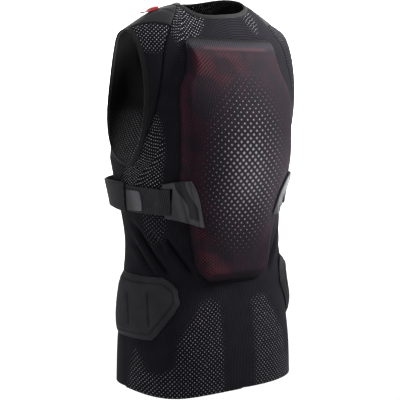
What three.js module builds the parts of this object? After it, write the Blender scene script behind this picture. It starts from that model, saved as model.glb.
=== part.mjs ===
// A sleeveless protective vest: knitted body panels sewn over the torso, a padded back protector in a
// mesh pocket, moulded strap anchors, elastic waist straps, hip pads and a front zip.
// Millimetres. +Z is up, +Y is the wearer's back, +X the wearer's left. The origin lies between the two
// shoulder points beside the neck, where the vest hangs on the shoulders.
import * as THREE from "three";

// Driving dimensions
const CLOTH = 2.4; // wall of the knitted body
const SEAM_GAP = 0.9; // between two panels along a seam
const LAYER_GAP = 0.6; // between a piece and what it lies on
const PAD_GAP = 1.8; // under the back pad, whose broad faces bridge the curve of the cloth
const ROUNDNESS = 2.3; // power of the torso's cross section: 2 is an ellipse
const DROOP = 1.6; // power by which a row sinks from the middle towards its edge
const NECK = {
  halfWidth: 66,
  backLevel: 10.34,
  frontLevel: 10.06,
  band: 8,
  bandStart: 0.2,
  bandWall: 3.2,
};
const ARMHOLE = {
  bottomX: 149,
  bottomZ: -256,
  tipX: 145,
  tipY: 2,
  tipZ: -40,
  backReach: 55,
  frontReach: 84,
  backScoop: 3,
  frontScoop: 21,
  scoopLow: 0.4,
  scoopHigh: 1.6,
  band: 8,
  bandStart: 1.8,
  bandWall: 3.2,
};
const ZIP = { halfWidth: 7, wall: 3.4, sunk: 0.4 };
const HEM_DIP = { turn: 47, width: 33, depth: 10.5, levels: 1.6 };
const FOAM = { thickness: 11, ramp: 16, rampStart: 2, inset: 9, topInset: 20, clearance: 0.8 };
const POCKET = { topZ: -52, bottomZ: -447, topCorner: 14, bottomCorner: 34, wall: 1.6, tilt: 0.09 };
const ANCHOR = {
  outerWall: 2.8,
  innerWall: 5,
  outerSeat: 1,
  innerSeat: 3,
  seatShare: 0.5,
  slot: 4,
  grooveWidth: 7,
  grooveDepth: 1.6,
  rightTip: 11, // the right anchor's lower tip ends this much higher
};
const STRAP = { topZ: -286, bottomZ: -330, wall: 1.8, from: 49.4, to: 99 };
const TAB = { topZ: -292, bottomZ: -326, wall: 2.0, from: 75.5, to: 92 };
const BELT_WALL = 3.0;
const HIP_PAD = {
  thickness: 8,
  rightThickness: 10,
  edge: 1.8,
  bevel: 13,
  gap: 1.1,
  rightRaise: 12,
  rightForward: 6, // degrees
};
const SHOULDER_TAB = {
  fromX: 92,
  toX: 113,
  fromS: 11.1,
  toS: 11.34,
  foldWall: 4.6,
  endWall: 1.8,
  endRise: 5.5,
  rightForward: 0.1,
};
const TAB_FOLD = { full: 0.25, over: 0.6 }; // shares of the tab's length where its doubled part ends
// The left shoulder hangs higher
const LEAN = { rise: 8, leftFrom: 44, leftTo: 98, rightFrom: 40, rightTo: 130, fromLevel: 8.5 };

// Points along and across the lattice of each sheet
const LATTICE = {
  backPanel: { rows: 33, columns: 29 },
  frontPanel: { rows: 12, columns: 10 },
  lowerFront: { rows: 10, columns: 10 },
  zip: { rows: 23, columns: 3 },
  shoulderPanel: { rows: 12, columns: 5 },
  yoke: { rows: 9, columns: 9 },
  strap: { rows: 3, columns: 14 },
  tab: { rows: 3, columns: 7 },
  shoulderTab: { rows: 7, columns: 3 },
};

// The body form: rows run round the torso, level 0 at the hem, 6 at the armpit, 11 at the shoulder line.
const ARMPIT = 6;
const RIDGE = 11;
const LAST = 2 * RIDGE; // a strip runs from the back hem over the shoulder to the front hem

const table = (names, rows) =>
  rows.map((row) => Object.fromEntries(names.map((name, i) => [name, row[i]])));
const column = (rows, name) => rows.map((row) => row[name]);

// turn is how far round the torso a row has come when it reaches its edge, in degrees.
const BACK_ROWS = table(
  ["midZ", "midY", "turn"],
  [
    [-624, 111, 90],
    [-565, 109, 90],
    [-505, 101, 90],
    [-446, 92, 90],
    [-384, 89, 90],
    [-318, 97, 90],
    [-248, 114, 90],
    [-188, 119, 66],
    [-132, 110, 54],
    [-82, 91, 46],
    [-40, 76, 32],
  ],
);
const SHOULDER_ROW = { midZ: 14, midY: 24, turn: 14 };
const FRONT_ROWS = table(
  ["midZ", "midY", "turn"],
  [
    [-616, -100, 90],
    [-560, -100, 90],
    [-502, -98, 90],
    [-445, -95, 90],
    [-384, -95, 90],
    [-318, -118, 90],
    [-245, -138, 90],
    [-178, -136, 66],
    [-112, -114, 54],
    [-54, -90, 46],
    [-10, -64, 32],
  ],
);
const SIDE_ROWS = table(
  ["z", "halfWidth"],
  [
    [-622, 152],
    [-563, 150],
    [-504, 145],
    [-446, 138],
    [-385, 134],
    [-320, 139],
    [ARMHOLE.bottomZ, ARMHOLE.bottomX],
  ],
);
const STRIP = [...BACK_ROWS, SHOULDER_ROW, ...[...FRONT_ROWS].reverse()];
const MID_Z = column(STRIP, "midZ");
const MID_Y = column(STRIP, "midY");
const TURN = column(STRIP, "turn");
const SIDE_X = column(SIDE_ROWS, "halfWidth");
const SIDE_Z = column(SIDE_ROWS, "z");

const { clamp, lerp, degToRad: radians, smoothstep: smooth } = THREE.MathUtils;
const bell = (value) => Math.exp(-value * value);

// A smooth curve through equally spaced values, carried straight on past both ends.
function through(values, t) {
  const last = values.length - 1;
  const i = clamp(Math.floor(t), 0, last - 1);
  const b = values[i];
  const c = values[i + 1];
  const a = i > 0 ? values[i - 1] : 2 * b - c;
  const d = i + 2 <= last ? values[i + 2] : 2 * c - b;
  const f = t - i;
  return b + 0.5 * f * (c - a + f * (2 * a - 5 * b + 4 * c - d + f * (3 * (b - c) + d - a)));
}

// Straight lines between the rows of a table, found by one of its columns, which rises or falls.
function between(rows, key, value, name) {
  const rises = rows[rows.length - 1][key] > rows[0][key];
  let i = 0;
  while (i < rows.length - 2 && (rises ? value > rows[i + 1][key] : value < rows[i + 1][key])) i += 1;
  const [a, b] = [rows[i], rows[i + 1]];
  return lerp(a[name], b[name], clamp((value - a[key]) / (b[key] - a[key]), 0, 1));
}

const levelOf = (s) => (s <= RIDGE ? s : LAST - s);

// Where a row ends: at the side below the armpit, on the armhole above it.
function edgeOf(s) {
  const level = levelOf(s);
  if (level <= ARMPIT) return { x: through(SIDE_X, level), y: 0, z: through(SIDE_Z, level) };
  const climb = radians(-90 + (180 * (level - ARMPIT)) / (RIDGE - ARMPIT));
  const risen = (1 + Math.sin(climb)) / 2;
  const open = Math.cos(climb);
  const back = s <= RIDGE;
  const scoop = back ? ARMHOLE.backScoop : ARMHOLE.frontScoop;
  const deeper = lerp(ARMHOLE.scoopLow, ARMHOLE.scoopHigh, risen);
  return {
    x: lerp(ARMHOLE.bottomX, ARMHOLE.tipX, risen) - scoop * open * open * deeper,
    y: ARMHOLE.tipY * risen + (back ? ARMHOLE.backReach : -ARMHOLE.frontReach) * open,
    z: lerp(ARMHOLE.bottomZ, ARMHOLE.tipZ, risen),
  };
}

// How far the hem hangs lower at one place on the left of the back.
function hemDip(s, across) {
  if (s > HEM_DIP.levels || across < 0) return 0;
  const fade = 1 - s / HEM_DIP.levels;
  return HEM_DIP.depth * fade * fade * bell((across * 90 - HEM_DIP.turn) / HEM_DIP.width);
}

// How far a shoulder is raised on the left and lowered on the right, away from the neck.
function lean(s, x) {
  const outward = x > 0 ? smooth(x, LEAN.leftFrom, LEAN.leftTo) : smooth(-x, LEAN.rightFrom, LEAN.rightTo);
  return LEAN.rise * Math.sign(x) * outward * smooth(levelOf(s), LEAN.fromLevel, RIDGE);
}

const rounded = (value) => Math.pow(Math.max(value, 0), 2 / ROUNDNESS);

// A point of the body form: s along the strip, across from -1 at the right edge to 1 at the left edge.
function bodyPoint(s, across) {
  const edge = edgeOf(s);
  const midY = through(MID_Y, s);
  const midZ = through(MID_Z, s);
  const turn = radians(through(TURN, s));
  const angle = Math.abs(across) * turn;
  const reach = rounded(Math.sin(angle)) / rounded(Math.sin(turn));
  const fall = (1 - rounded(Math.cos(angle))) / (1 - rounded(Math.cos(turn)));
  const x = Math.sign(across) * edge.x * reach;
  const y = midY + (edge.y - midY) * fall;
  const z = midZ + (edge.z - midZ) * Math.pow(reach, DROOP);
  return new THREE.Vector3(x, y, z + lean(s, x) - hemDip(s, across));
}

// The share of a row at which it passes a distance x from the middle.
function acrossAt(s, x) {
  const turn = radians(through(TURN, s));
  const reach = (Math.abs(x) / edgeOf(s).x) * rounded(Math.sin(turn));
  return (Math.sign(x) * Math.asin(clamp(Math.pow(reach, ROUNDNESS / 2), 0, 1))) / turn;
}

// The level at which a falling measure of the form has the height z.
const HALVINGS = 40;
function levelWhere(height, z) {
  let [low, high] = [0, RIDGE];
  for (let halving = 0; halving < HALVINGS; halving++) {
    const middle = (low + high) / 2;
    if (height(middle) < z) low = middle;
    else high = middle;
  }
  return low;
}
const backLevelAt = (x, z) => levelWhere((level) => bodyPoint(level, acrossAt(level, x)).z, z);

const NORMAL_STEP = 0.02;
const NORMAL_EDGE = 0.97; // normals beside an edge are read this far out, where the form is regular
function normalAt(s, across) {
  const a = clamp(across, -NORMAL_EDGE, NORMAL_EDGE);
  const up = bodyPoint(s + NORMAL_STEP, a).sub(bodyPoint(s - NORMAL_STEP, a));
  const out = bodyPoint(s, a + NORMAL_STEP).sub(bodyPoint(s, a - NORMAL_STEP));
  return up.cross(out).normalize();
}

// Tension folds at the waist, pressed into the cloth between two places on it.
const FOLDS = table(
  ["fromTurn", "fromZ", "toTurn", "toZ", "width", "depth"],
  [
    [88, -358, 53, -428, 7, 4.5],
    [54, -372, 31, -430, 6, 4.0],
    [90, -386, 66, -432, 7, 2.5],
    [70, -362, 56, -392, 6, 2.0],
  ],
);
const MM_PER_DEGREE = 2.0; // round the waist
const FOLD_FADE = { start: -0.25, full: 0.2, fading: 0.8, end: 1.25 }; // shares of a fold's length

function foldDepth(turnDegrees, z) {
  let depth = 0;
  for (const fold of FOLDS) {
    const [dx, dz] = [(fold.toTurn - fold.fromTurn) * MM_PER_DEGREE, fold.toZ - fold.fromZ];
    const [px, pz] = [(turnDegrees - fold.fromTurn) * MM_PER_DEGREE, z - fold.fromZ];
    const along = (px * dx + pz * dz) / (dx * dx + dz * dz);
    const beside = (px * dz - pz * dx) / Math.hypot(dx, dz);
    const begun = smooth(along, FOLD_FADE.start, FOLD_FADE.full);
    const ended = smooth(along, FOLD_FADE.fading, FOLD_FADE.end);
    depth += fold.depth * begun * (1 - ended) * bell(beside / fold.width);
  }
  return depth;
}

// A point lifted off the body form along its normal: firm pieces pass over the folds of the cloth.
const firm = (s, across, lift) => bodyPoint(s, across).addScaledVector(normalAt(s, across), lift);

function skin(s, across, lift) {
  const far = Math.abs(across) * 90;
  const dent = levelOf(s) < ARMPIT ? foldDepth(s <= RIDGE ? far : 180 - far, bodyPoint(s, across).z) : 0;
  return firm(s, across, lift - dent);
}

// Round the torso at one level: 0 in the middle of the back, 1 at the side, 2 in the middle of the front.
function ring(level, around, lift, cover = skin) {
  const far = Math.abs(around);
  if (far <= 1) return cover(level, around, lift);
  return cover(LAST - level, Math.sign(around) * (2 - far), lift);
}

// The place turned so many degrees round the torso at the height z, below the armpit.
function girth(turnDegrees, z, lift) {
  const around = turnDegrees / 90;
  const level = levelWhere((trial) => ring(trial, around, 0, firm).z, z);
  return ring(level, around, lift, firm);
}

// A closed solid between two lattices of points, the faces of a wall. Cells may be left open.
function wall(outer, inner, wrap = false, isOpen = () => false) {
  const rows = outer.length;
  const columns = outer[0].length;
  const points = [...outer.flat(), ...inner.flat()];
  const at = (face, r, c) => face * rows * columns + r * columns + (c % columns);
  const index = [];
  const quad = (a, b, c, d) => {
    const straight = points[a].distanceTo(points[c]) <= points[b].distanceTo(points[d]);
    index.push(...(straight ? [a, b, c, a, c, d] : [a, b, d, b, c, d]));
  };
  const steps = wrap ? columns : columns - 1;
  const filled = (r, c) => {
    if (r < 0 || r >= rows - 1) return false;
    if (wrap) return true;
    return c >= 0 && c < steps && !isOpen(r, c);
  };
  for (let r = 0; r < rows - 1; r++) {
    for (let c = 0; c < steps; c++) {
      if (!filled(r, c)) continue;
      const corners = [
        [r, c],
        [r, c + 1],
        [r + 1, c + 1],
        [r + 1, c],
      ];
      const beyond = [
        [r - 1, c],
        [r, c + 1],
        [r + 1, c],
        [r, c - 1],
      ];
      const [a, b, d, e] = corners;
      quad(at(0, ...a), at(0, ...b), at(0, ...d), at(0, ...e));
      quad(at(1, ...a), at(1, ...e), at(1, ...d), at(1, ...b));
      beyond.forEach((cell, i) => {
        if (filled(...cell)) return;
        const [p, q] = [corners[i], corners[(i + 1) % 4]];
        quad(at(0, ...q), at(0, ...p), at(1, ...p), at(1, ...q));
      });
    }
  }
  let volume = 0;
  for (let i = 0; i < index.length; i += 3) {
    const [a, b, c] = [points[index[i]], points[index[i + 1]], points[index[i + 2]]];
    volume += a.dot(b.clone().cross(c));
  }
  if (volume < 0) index.reverse();
  const geometry = new THREE.BufferGeometry().setFromPoints(points);
  geometry.setIndex(index);
  return geometry;
}

// A lattice of rows and columns, each point placed by a function of its two shares from 0 to 1.
function lattice({ rows, columns }, place) {
  return Array.from({ length: rows }, (_, r) =>
    Array.from({ length: columns }, (_, c) => place(r / (rows - 1), c / (columns - 1))),
  );
}

// A wall of cloth or sheet between two lifts, on a lattice placed by its two shares.
function sheet(points, low, high, place) {
  const face = (lift) => lattice(points, (r, c) => place(r, c, lift));
  return wall(face(high), face(low));
}

// A flat band sewn along a closed edge, standing off it into the opening.
const BAND_MIDDLE = 0.55; // share of the band's width at which it may bend
function edging(stations, { band, bandStart, bandWall }) {
  const proud = (bandWall - CLOTH) / 2;
  const count = stations.length;
  const across = stations.map(({ point, normal }, i) => {
    const ahead = stations[(i + 1) % count].point;
    const behind = stations[(i + count - 1) % count].point;
    const along = ahead.clone().sub(behind).normalize();
    return along.cross(normal).normalize();
  });
  const reaches = [bandStart, BAND_MIDDLE * band, band];
  const face = (lift) =>
    reaches.map((reach) =>
      stations.map(({ point, normal }, i) =>
        point.clone().addScaledVector(across[i], reach).addScaledVector(normal, lift),
      ),
    );
  return wall(face(CLOTH + proud), face(-proud), true);
}

const vest = new THREE.Group();
vest.name = "protective_vest";
function add(name, material, geometry) {
  const mesh = new THREE.Mesh(geometry, material);
  mesh.name = name;
  vest.add(mesh);
}
function addPair(name, material, shape) {
  add(`${name}_left`, material, shape(1));
  add(`${name}_right`, material, shape(-1));
}

// Materials
const finish = (color, roughness) => new THREE.MeshStandardMaterial({ color, roughness, metalness: 0 });
const knit = finish(0x1b1b1f, 0.9);
const smoothKnit = finish(0x2a2a2e, 0.85);
const rib = finish(0x222226, 0.9);
const meshCover = finish(0x241c20, 0.85);
const redFoam = finish(0x7a1c22, 0.9);
const webbing = finish(0x202022, 0.8);
const rubber = finish(0x5a5b5e, 0.55);
const padFace = finish(0x29292a, 0.75);
const redWeb = finish(0xc4262e, 0.7);

// Seams, as shares of a row and of a level
const ACROSS_MM = 175; // from the middle of a row to its edge
const LEVEL_MM = 60; // between two levels
const acrossGap = SEAM_GAP / 2 / ACROSS_MM;
const levelGap = SEAM_GAP / 2 / LEVEL_MM;
const curvedGap = 3 * acrossGap; // where panels of unlike facets meet on a curve
const sideGap = 4 * acrossGap;
const FRONT_SEAM = 1.28; // round the torso, below the armpit
const FRONT_SEAM_TURNS_IN = 4.4; // level from which the seam runs to the armpit
const SHOULDER_SEAM_START = 7.7; // level at which the shoulder seam leaves the armhole
const SHOULDER_SEAM_FIRST = 8; // level of the first of these distances from the middle
const SHOULDER_SEAM_X = [140, 126, 110, NECK.halfWidth];
const shoulderSeamX = (level) => through(SHOULDER_SEAM_X, level - SHOULDER_SEAM_FIRST);
const YOKE = { backLevel: 10.36, backEdgeLevel: 10.98, frontEdgeLevel: 10.25, corner: 0.45 };
const neckShare = acrossAt(RIDGE, NECK.halfWidth);

// How far round the back panel reaches at a level.
function backReach(level) {
  if (level <= FRONT_SEAM_TURNS_IN) return FRONT_SEAM;
  if (level <= ARMPIT) {
    const share = (level - FRONT_SEAM_TURNS_IN) / (ARMPIT - FRONT_SEAM_TURNS_IN);
    return lerp(FRONT_SEAM, 1, share * share);
  }
  if (level <= SHOULDER_SEAM_START) return 1;
  return Math.min(1, acrossAt(level, shoulderSeamX(level)));
}

// The neck edge at a share of the way from the middle to the shoulder, behind and in front.
const backNeck = (share) => {
  const level = lerp(NECK.backLevel, RIDGE, share * share);
  return { s: level, across: share * backReach(level) };
};
const frontNeck = (share) => ({
  s: LAST - lerp(NECK.frontLevel, RIDGE, share * share),
  across: share * neckShare,
});

// The back panel wraps round both sides to the front seams.
const backPanel = sheet(LATTICE.backPanel, 0, CLOTH, (r, c, lift) => {
  const share = 2 * c - 1;
  const level = r * (backNeck(share).s - levelGap);
  return ring(level, share * (backReach(level) - acrossGap), lift);
});
add("back_panel", knit, backPanel);

// Each front runs from the zip to the side seam, the armhole and the yoke. A level seam under the belt
// parts the front panel from the lower front.
const BELT_SEAM = 5.14; // its level
const FRONT_EVEN = { share: 5 / 11, level: 8 }; // rows of the upper part lie level up to here, then rise
const frontColumns = LATTICE.frontPanel.columns - 1;
const neckColumns = 4;
const shoulderColumns = frontColumns - neckColumns;
const front = (points, levelAt) => (hand) => sheet(points, 0, CLOTH, (r, c, lift) => {
  const place = c * frontColumns;
  const inNeck = place <= neckColumns;
  const share = inNeck ? place / neckColumns : (place - neckColumns) / shoulderColumns;
  const top = inNeck ? LAST - frontNeck(share).s : lerp(RIDGE, YOKE.frontEdgeLevel, share);
  const level = levelAt(r, top - levelGap);
  const reach = level <= ARMPIT ? 2 - backReach(level) - sideGap : 1 - acrossGap;
  const zipEdge = acrossAt(LAST - level, ZIP.halfWidth + SEAM_GAP);
  const across = inNeck ? lerp(zipEdge, neckShare, share) : lerp(neckShare, reach, share);
  return skin(LAST - level, hand * across, lift);
});
const lowerLevel = (r) => r * (BELT_SEAM - levelGap);
const upperLevel = (r, top) =>
  r < FRONT_EVEN.share
    ? lerp(BELT_SEAM + levelGap, FRONT_EVEN.level, r / FRONT_EVEN.share)
    : lerp(FRONT_EVEN.level, top, (r - FRONT_EVEN.share) / (1 - FRONT_EVEN.share));
addPair("front_panel", knit, front(LATTICE.frontPanel, upperLevel));
addPair("lower_front", knit, front(LATTICE.lowerFront, lowerLevel));

// The zip closes the front from the hem to the neck.
const zip = sheet(LATTICE.zip, -ZIP.sunk, ZIP.wall - ZIP.sunk, (r, c, lift) => {
  const s = LAST - r * (NECK.frontLevel - levelGap);
  return skin(s, acrossAt(s, (2 * c - 1) * ZIP.halfWidth), lift);
});
add("front_zip", webbing, zip);

// A narrow panel between the back panel and the armhole, up to the yoke.
const yokeCornerX = shoulderSeamX(YOKE.backLevel);
const yokeEdgeX = edgeOf(YOKE.backEdgeLevel).x;
const shoulderPanel = (hand) => sheet(LATTICE.shoulderPanel, 0, CLOTH, (r, c, lift) => {
  const top = lerp(YOKE.backLevel, YOKE.backEdgeLevel, c) - levelGap;
  const level = lerp(SHOULDER_SEAM_START + 2 * levelGap, top, r);
  const topSeamX = shoulderSeamX(top);
  const topShare = (lerp(yokeCornerX, yokeEdgeX, c) - topSeamX) / (edgeOf(top).x - topSeamX);
  const share = clamp(lerp(c, topShare, r), 0, 1);
  const inside = acrossAt(level, shoulderSeamX(level)) + curvedGap;
  return skin(level, hand * lerp(inside, 1 - acrossGap, share), lift);
});
addPair("shoulder_panel", knit, shoulderPanel);

// The yoke lies over the top of the shoulder, from the neck point to the armhole.
const YOKE_TIP = 0.06; // share at which the yoke begins beside the neck point
const yoke = (hand) => sheet(LATTICE.yoke, 0, CLOTH, (r, c, lift) => {
  const share = lerp(YOKE_TIP, 1, c);
  const alongSeam = Math.min(1, share / YOKE.corner);
  const alongBack = Math.max(0, (share - YOKE.corner) / (1 - YOKE.corner));
  const backLevel =
    share < YOKE.corner
      ? lerp(RIDGE, YOKE.backLevel, alongSeam)
      : lerp(YOKE.backLevel, YOKE.backEdgeLevel, alongBack);
  const backX = share < YOKE.corner ? shoulderSeamX(backLevel) : lerp(yokeCornerX, yokeEdgeX, alongBack);
  const frontS = LAST - lerp(RIDGE, YOKE.frontEdgeLevel, share);
  const backS = backLevel + levelGap;
  const s = lerp(backS, frontS - levelGap, r);
  const backAcross = acrossAt(backS, backX) + curvedGap;
  const frontAcross = lerp(neckShare, 1, share) + acrossGap;
  return skin(s, hand * Math.min(lerp(backAcross, frontAcross, r), 1 - acrossGap), lift);
});
addPair("yoke", smoothKnit, yoke);

// Bands round the neck and the armholes
const station = ({ s, across }) => ({ point: bodyPoint(s, across), normal: normalAt(s, across) });
const NECK_STATIONS = 20; // on each half
const neckStations = [];
for (let i = 0; i < NECK_STATIONS; i++) {
  neckStations.push(station(backNeck((2 * i) / NECK_STATIONS - 1)));
}
for (let i = 0; i < NECK_STATIONS; i++) {
  const share = 1 - (2 * i) / NECK_STATIONS;
  const { s, across } = frontNeck(Math.abs(share));
  neckStations.push(station({ s, across: Math.sign(share) * across }));
}
add("neck_band", rib, edging(neckStations, NECK));

const ARMHOLE_STATIONS = 32;
const armholeBand = (hand) => {
  const [from, to] = hand > 0 ? [LAST - ARMPIT, ARMPIT] : [ARMPIT, LAST - ARMPIT];
  const stations = Array.from({ length: ARMHOLE_STATIONS }, (_, i) =>
    station({ s: lerp(from, to, i / ARMHOLE_STATIONS), across: hand }),
  );
  return edging(stations, ARMHOLE);
};
addPair("armhole_band", rib, armholeBand);

// The back protector: a foam pad inside a mesh pocket, narrow at the neck, wide over the shoulder blades.
const POCKET_ROWS = table(
  ["z", "halfWidth"],
  [
    [-52, 85],
    [-80, 88],
    [-105, 92],
    [-130, 104],
    [-155, 107],
    [-200, 107],
    [-270, 107],
    [-300, 100],
    [-345, 86],
    [-400, 76],
    [-455, 70],
  ],
);
const PAD_STEPS = [0, 5, FOAM.inset, FOAM.ramp]; // distances in from the pocket's edge
const topStretch = FOAM.topInset / FOAM.inset;

function pocketHalfWidth(z) {
  const cut = (corner, depth) => corner - Math.sqrt(corner ** 2 - (corner - clamp(depth, 0, corner)) ** 2);
  const corners = cut(POCKET.topCorner, POCKET.topZ - z) + cut(POCKET.bottomCorner, z - POCKET.bottomZ);
  return between(POCKET_ROWS, "z", z, "halfWidth") - corners;
}
const edgeInZ = (z) => Math.min((POCKET.topZ - z) / topStretch, z - POCKET.bottomZ);
const padHeight = (edge) => FOAM.thickness * smooth(edge, FOAM.rampStart, FOAM.ramp);

// Steps from one edge to the other: the pad's slope on both sides, even steps between.
function padSteps(length, firstStretch, evenSteps) {
  const first = PAD_STEPS.map((step) => step * firstStretch);
  const second = PAD_STEPS.map((step) => length - step).reverse();
  const [from, to] = [first[first.length - 1], second[0]];
  const even = Array.from({ length: evenSteps - 1 }, (_, i) => lerp(from, to, (i + 1) / evenSteps));
  return [...first, ...even, ...second];
}
const PAD_CELLS = { across: 8, down: 12 };
const padRows = padSteps(POCKET.topZ - POCKET.bottomZ, topStretch, PAD_CELLS.down);

// The pocket's top is lower on the right, its bottom is level.
const pocketTilt = (z) => (POCKET.tilt * (z - POCKET.bottomZ)) / (POCKET.topZ - POCKET.bottomZ);

function padFaces(trim, lift) {
  return padRows.slice(trim, padRows.length - trim).map((down) => {
    const z = POCKET.topZ - down;
    const half = pocketHalfWidth(z);
    const steps = padSteps(2 * half, 1, PAD_CELLS.across);
    return steps.slice(trim, steps.length - trim).map((step) => {
      const x = step - half;
      const level = backLevelAt(x, z + pocketTilt(z) * x);
      const edge = Math.min(edgeInZ(z), step, 2 * half - step);
      return firm(level, acrossAt(level, x), lift(padHeight(edge)));
    });
  });
}
const padSeat = CLOTH + PAD_GAP;
const coverLow = (height) => padSeat + height;
const coverHigh = (height) => padSeat + height + POCKET.wall;
const foamTop = (height) => padSeat + height - FOAM.clearance;
add("back_pocket", meshCover, wall(padFaces(0, coverHigh), padFaces(0, coverLow)));
const FOAM_TRIM = PAD_STEPS.indexOf(FOAM.inset);
add("back_foam", redFoam, wall(padFaces(FOAM_TRIM, foamTop), padFaces(FOAM_TRIM, () => padSeat)));

// How far the outside of the pocket stands off the body form at a place on the back.
function pocketLift(x, z) {
  const untilted = z - pocketTilt(z) * x;
  const edge = Math.min(edgeInZ(untilted), pocketHalfWidth(untilted) - Math.abs(x));
  return edge < -LAYER_GAP ? CLOTH : coverHigh(padHeight(edge));
}

// A strap anchor is moulded over the edge of the pad, with a slot that takes the strap.
const ANCHOR_ROWS = table(
  ["outerZ", "innerZ", "outerX", "slotX", "innerX"],
  [
    [-279, -267, 124, 116, 91],
    [-287, -277, 123, 115, 84.5],
    [-297, -292, 121, 114, 77.5],
    [-308, -308, 119, 113, 72.5],
    [-319, -324, 117, 112, 69],
    [-329, -339, 116, 111.5, 65.5],
    [-336, -349, 115, 111, 63],
  ],
);
const ANCHOR_STEPS = 7; // from the slot to the inner end
const SLOT_COLUMN = 1;
const isSlot = (r, c) => c === SLOT_COLUMN && r > 0 && r < ANCHOR_ROWS.length - 2;
const GROOVE = { topShare: 0.2, bottomShare: 0.85 }; // of the way from the slot to the inner end

const anchorFace = (hand, raised) =>
  ANCHOR_ROWS.map((row, r) => {
    const slotInnerX = row.slotX - ANCHOR.slot;
    const down = smooth(r / (ANCHOR_ROWS.length - 1), 0, 1);
    const tip = hand < 0 ? ANCHOR.rightTip * smooth(r / (ANCHOR_ROWS.length - 1), 0.3, 1) : 0;
    const grooveX = lerp(slotInnerX, row.innerX, lerp(GROOVE.topShare, GROOVE.bottomShare, down));
    const inward = Array.from({ length: ANCHOR_STEPS + 1 }, (_, i) =>
      lerp(slotInnerX, row.innerX, i / ANCHOR_STEPS),
    );
    return [row.outerX, row.slotX, ...inward].map((x) => {
      const share = (row.outerX - x) / (row.outerX - row.innerX);
      const z = lerp(row.outerZ, row.innerZ + tip, share);
      const level = backLevelAt(hand * x, z);
      const groove = ANCHOR.grooveDepth * bell((x - grooveX) / ANCHOR.grooveWidth);
      const clear = lerp(ANCHOR.outerSeat, ANCHOR.innerSeat, smooth(share, 0, ANCHOR.seatShare));
      const seat = pocketLift(hand * x, z) + clear;
      const height = lerp(ANCHOR.outerWall, ANCHOR.innerWall, share) - groove;
      return firm(level, hand * acrossAt(level, x), seat + (raised ? height : 0));
    });
  });
const anchor = (hand) => wall(anchorFace(hand, true), anchorFace(hand, false), false, isSlot);
addPair("strap_anchor", rubber, anchor);

// An elastic waist strap runs from the anchor's slot round the side.
const STRAP_LIFTS = table(
  ["turn", "lift"],
  [
    [48, 7.4],
    [58, 7.4],
    [64, 4.2],
    [99, 3.4],
  ],
);
const strapLift = (turn) => between(STRAP_LIFTS, "turn", turn, "lift");
const strap = (hand) => sheet(LATTICE.strap, 0, STRAP.wall, (r, c, lift) => {
  const turn = lerp(STRAP.from, STRAP.to, c);
  return girth(hand * turn, lerp(STRAP.bottomZ, STRAP.topZ, r), strapLift(turn) + lift);
});
addPair("waist_strap", webbing, strap);

// A rubber pull tab is sewn on the strap.
const tab = (hand) => sheet(LATTICE.tab, 0, TAB.wall, (r, c, lift) => {
  const turn = lerp(TAB.from, TAB.to, c);
  const seat = strapLift(turn) + STRAP.wall + LAYER_GAP;
  return girth(hand * turn, lerp(TAB.bottomZ, TAB.topZ, r), seat + lift);
});
addPair("strap_tab", rubber, tab);

// The belt's front panel is stiff: it stands off the waist and comes back to the cloth beside the zip.
const BELT_ROWS = table(
  ["turn", "lift", "topZ", "bottomZ"],
  [
    [93, 7.5, -281, -331],
    [100, 10.5, -281, -330],
    [110, 14, -281, -327],
    [120, 15.5, -282, -326],
    [132, 13, -283, -328],
    [146, 8, -284, -329],
    [160, 4.6, -285, -330],
    [172, 3.2, -285, -330],
  ],
);
const beltFace = (hand, raised) =>
  BELT_ROWS.map((row) =>
    [0, 0.5, 1].map((share) =>
      girth(hand * row.turn, lerp(row.topZ, row.bottomZ, share), row.lift + (raised ? BELT_WALL : 0)),
    ),
  );
addPair("belt_front", webbing, (hand) => wall(beltFace(hand, true), beltFace(hand, false)));

// A hip pad covers the side of the hip.
const HIP_ROWS = table(
  ["z", "backTurn", "frontTurn"],
  [
    [-435, 56, 107],
    [-444, 48, 113],
    [-455, 43, 116],
    [-478, 41, 118],
    [-494, 46, 117],
    [-510, 52, 115],
    [-530, 60, 110],
    [-538, 64, 104],
  ],
);
const HIP_SHARES = [0, 0.08, 0.2, 0.35, 0.5, 0.65, 0.8, 0.92, 1];
const hipFace = (hand, raised) =>
  HIP_ROWS.map((row) =>
    HIP_SHARES.map((share) => {
      const turn = lerp(row.backTurn, row.frontTurn, share) + (hand < 0 ? HIP_PAD.rightForward : 0);
      const fromSide = Math.min(share, 1 - share) * (row.frontTurn - row.backTurn) * MM_PER_DEGREE;
      const fromEnd = Math.min(HIP_ROWS[0].z - row.z, row.z - HIP_ROWS[HIP_ROWS.length - 1].z);
      const raise = smooth(Math.min(fromSide, fromEnd), 0, HIP_PAD.bevel);
      const height = lerp(HIP_PAD.edge, hand < 0 ? HIP_PAD.rightThickness : HIP_PAD.thickness, raise);
      const z = row.z + (hand < 0 ? HIP_PAD.rightRaise : 0);
      return girth(hand * turn, z, CLOTH + HIP_PAD.gap + (raised ? height : 0));
    }),
  );
addPair("hip_pad", padFace, (hand) => wall(hipFace(hand, true), hipFace(hand, false)));

// A red webbing tab on the front of each shoulder: doubled beside the neck, its end standing off a little.
const shoulderTab = (hand) => sheet(LATTICE.shoulderTab, 0, 1, (r, c, lift) => {
  const x = lerp(SHOULDER_TAB.fromX, SHOULDER_TAB.toX, r);
  const s = lerp(SHOULDER_TAB.fromS, SHOULDER_TAB.toS, c) + (hand < 0 ? SHOULDER_TAB.rightForward : 0);
  const thinned = smooth(r, TAB_FOLD.full, TAB_FOLD.over);
  const thickness = lerp(SHOULDER_TAB.foldWall, SHOULDER_TAB.endWall, thinned);
  const seat = CLOTH + LAYER_GAP + SHOULDER_TAB.endRise * r ** 2;
  return firm(s, hand * acrossAt(s, x), seat + lift * thickness);
});
addPair("shoulder_tab", redWeb, shoulderTab);

export default vest;
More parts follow.
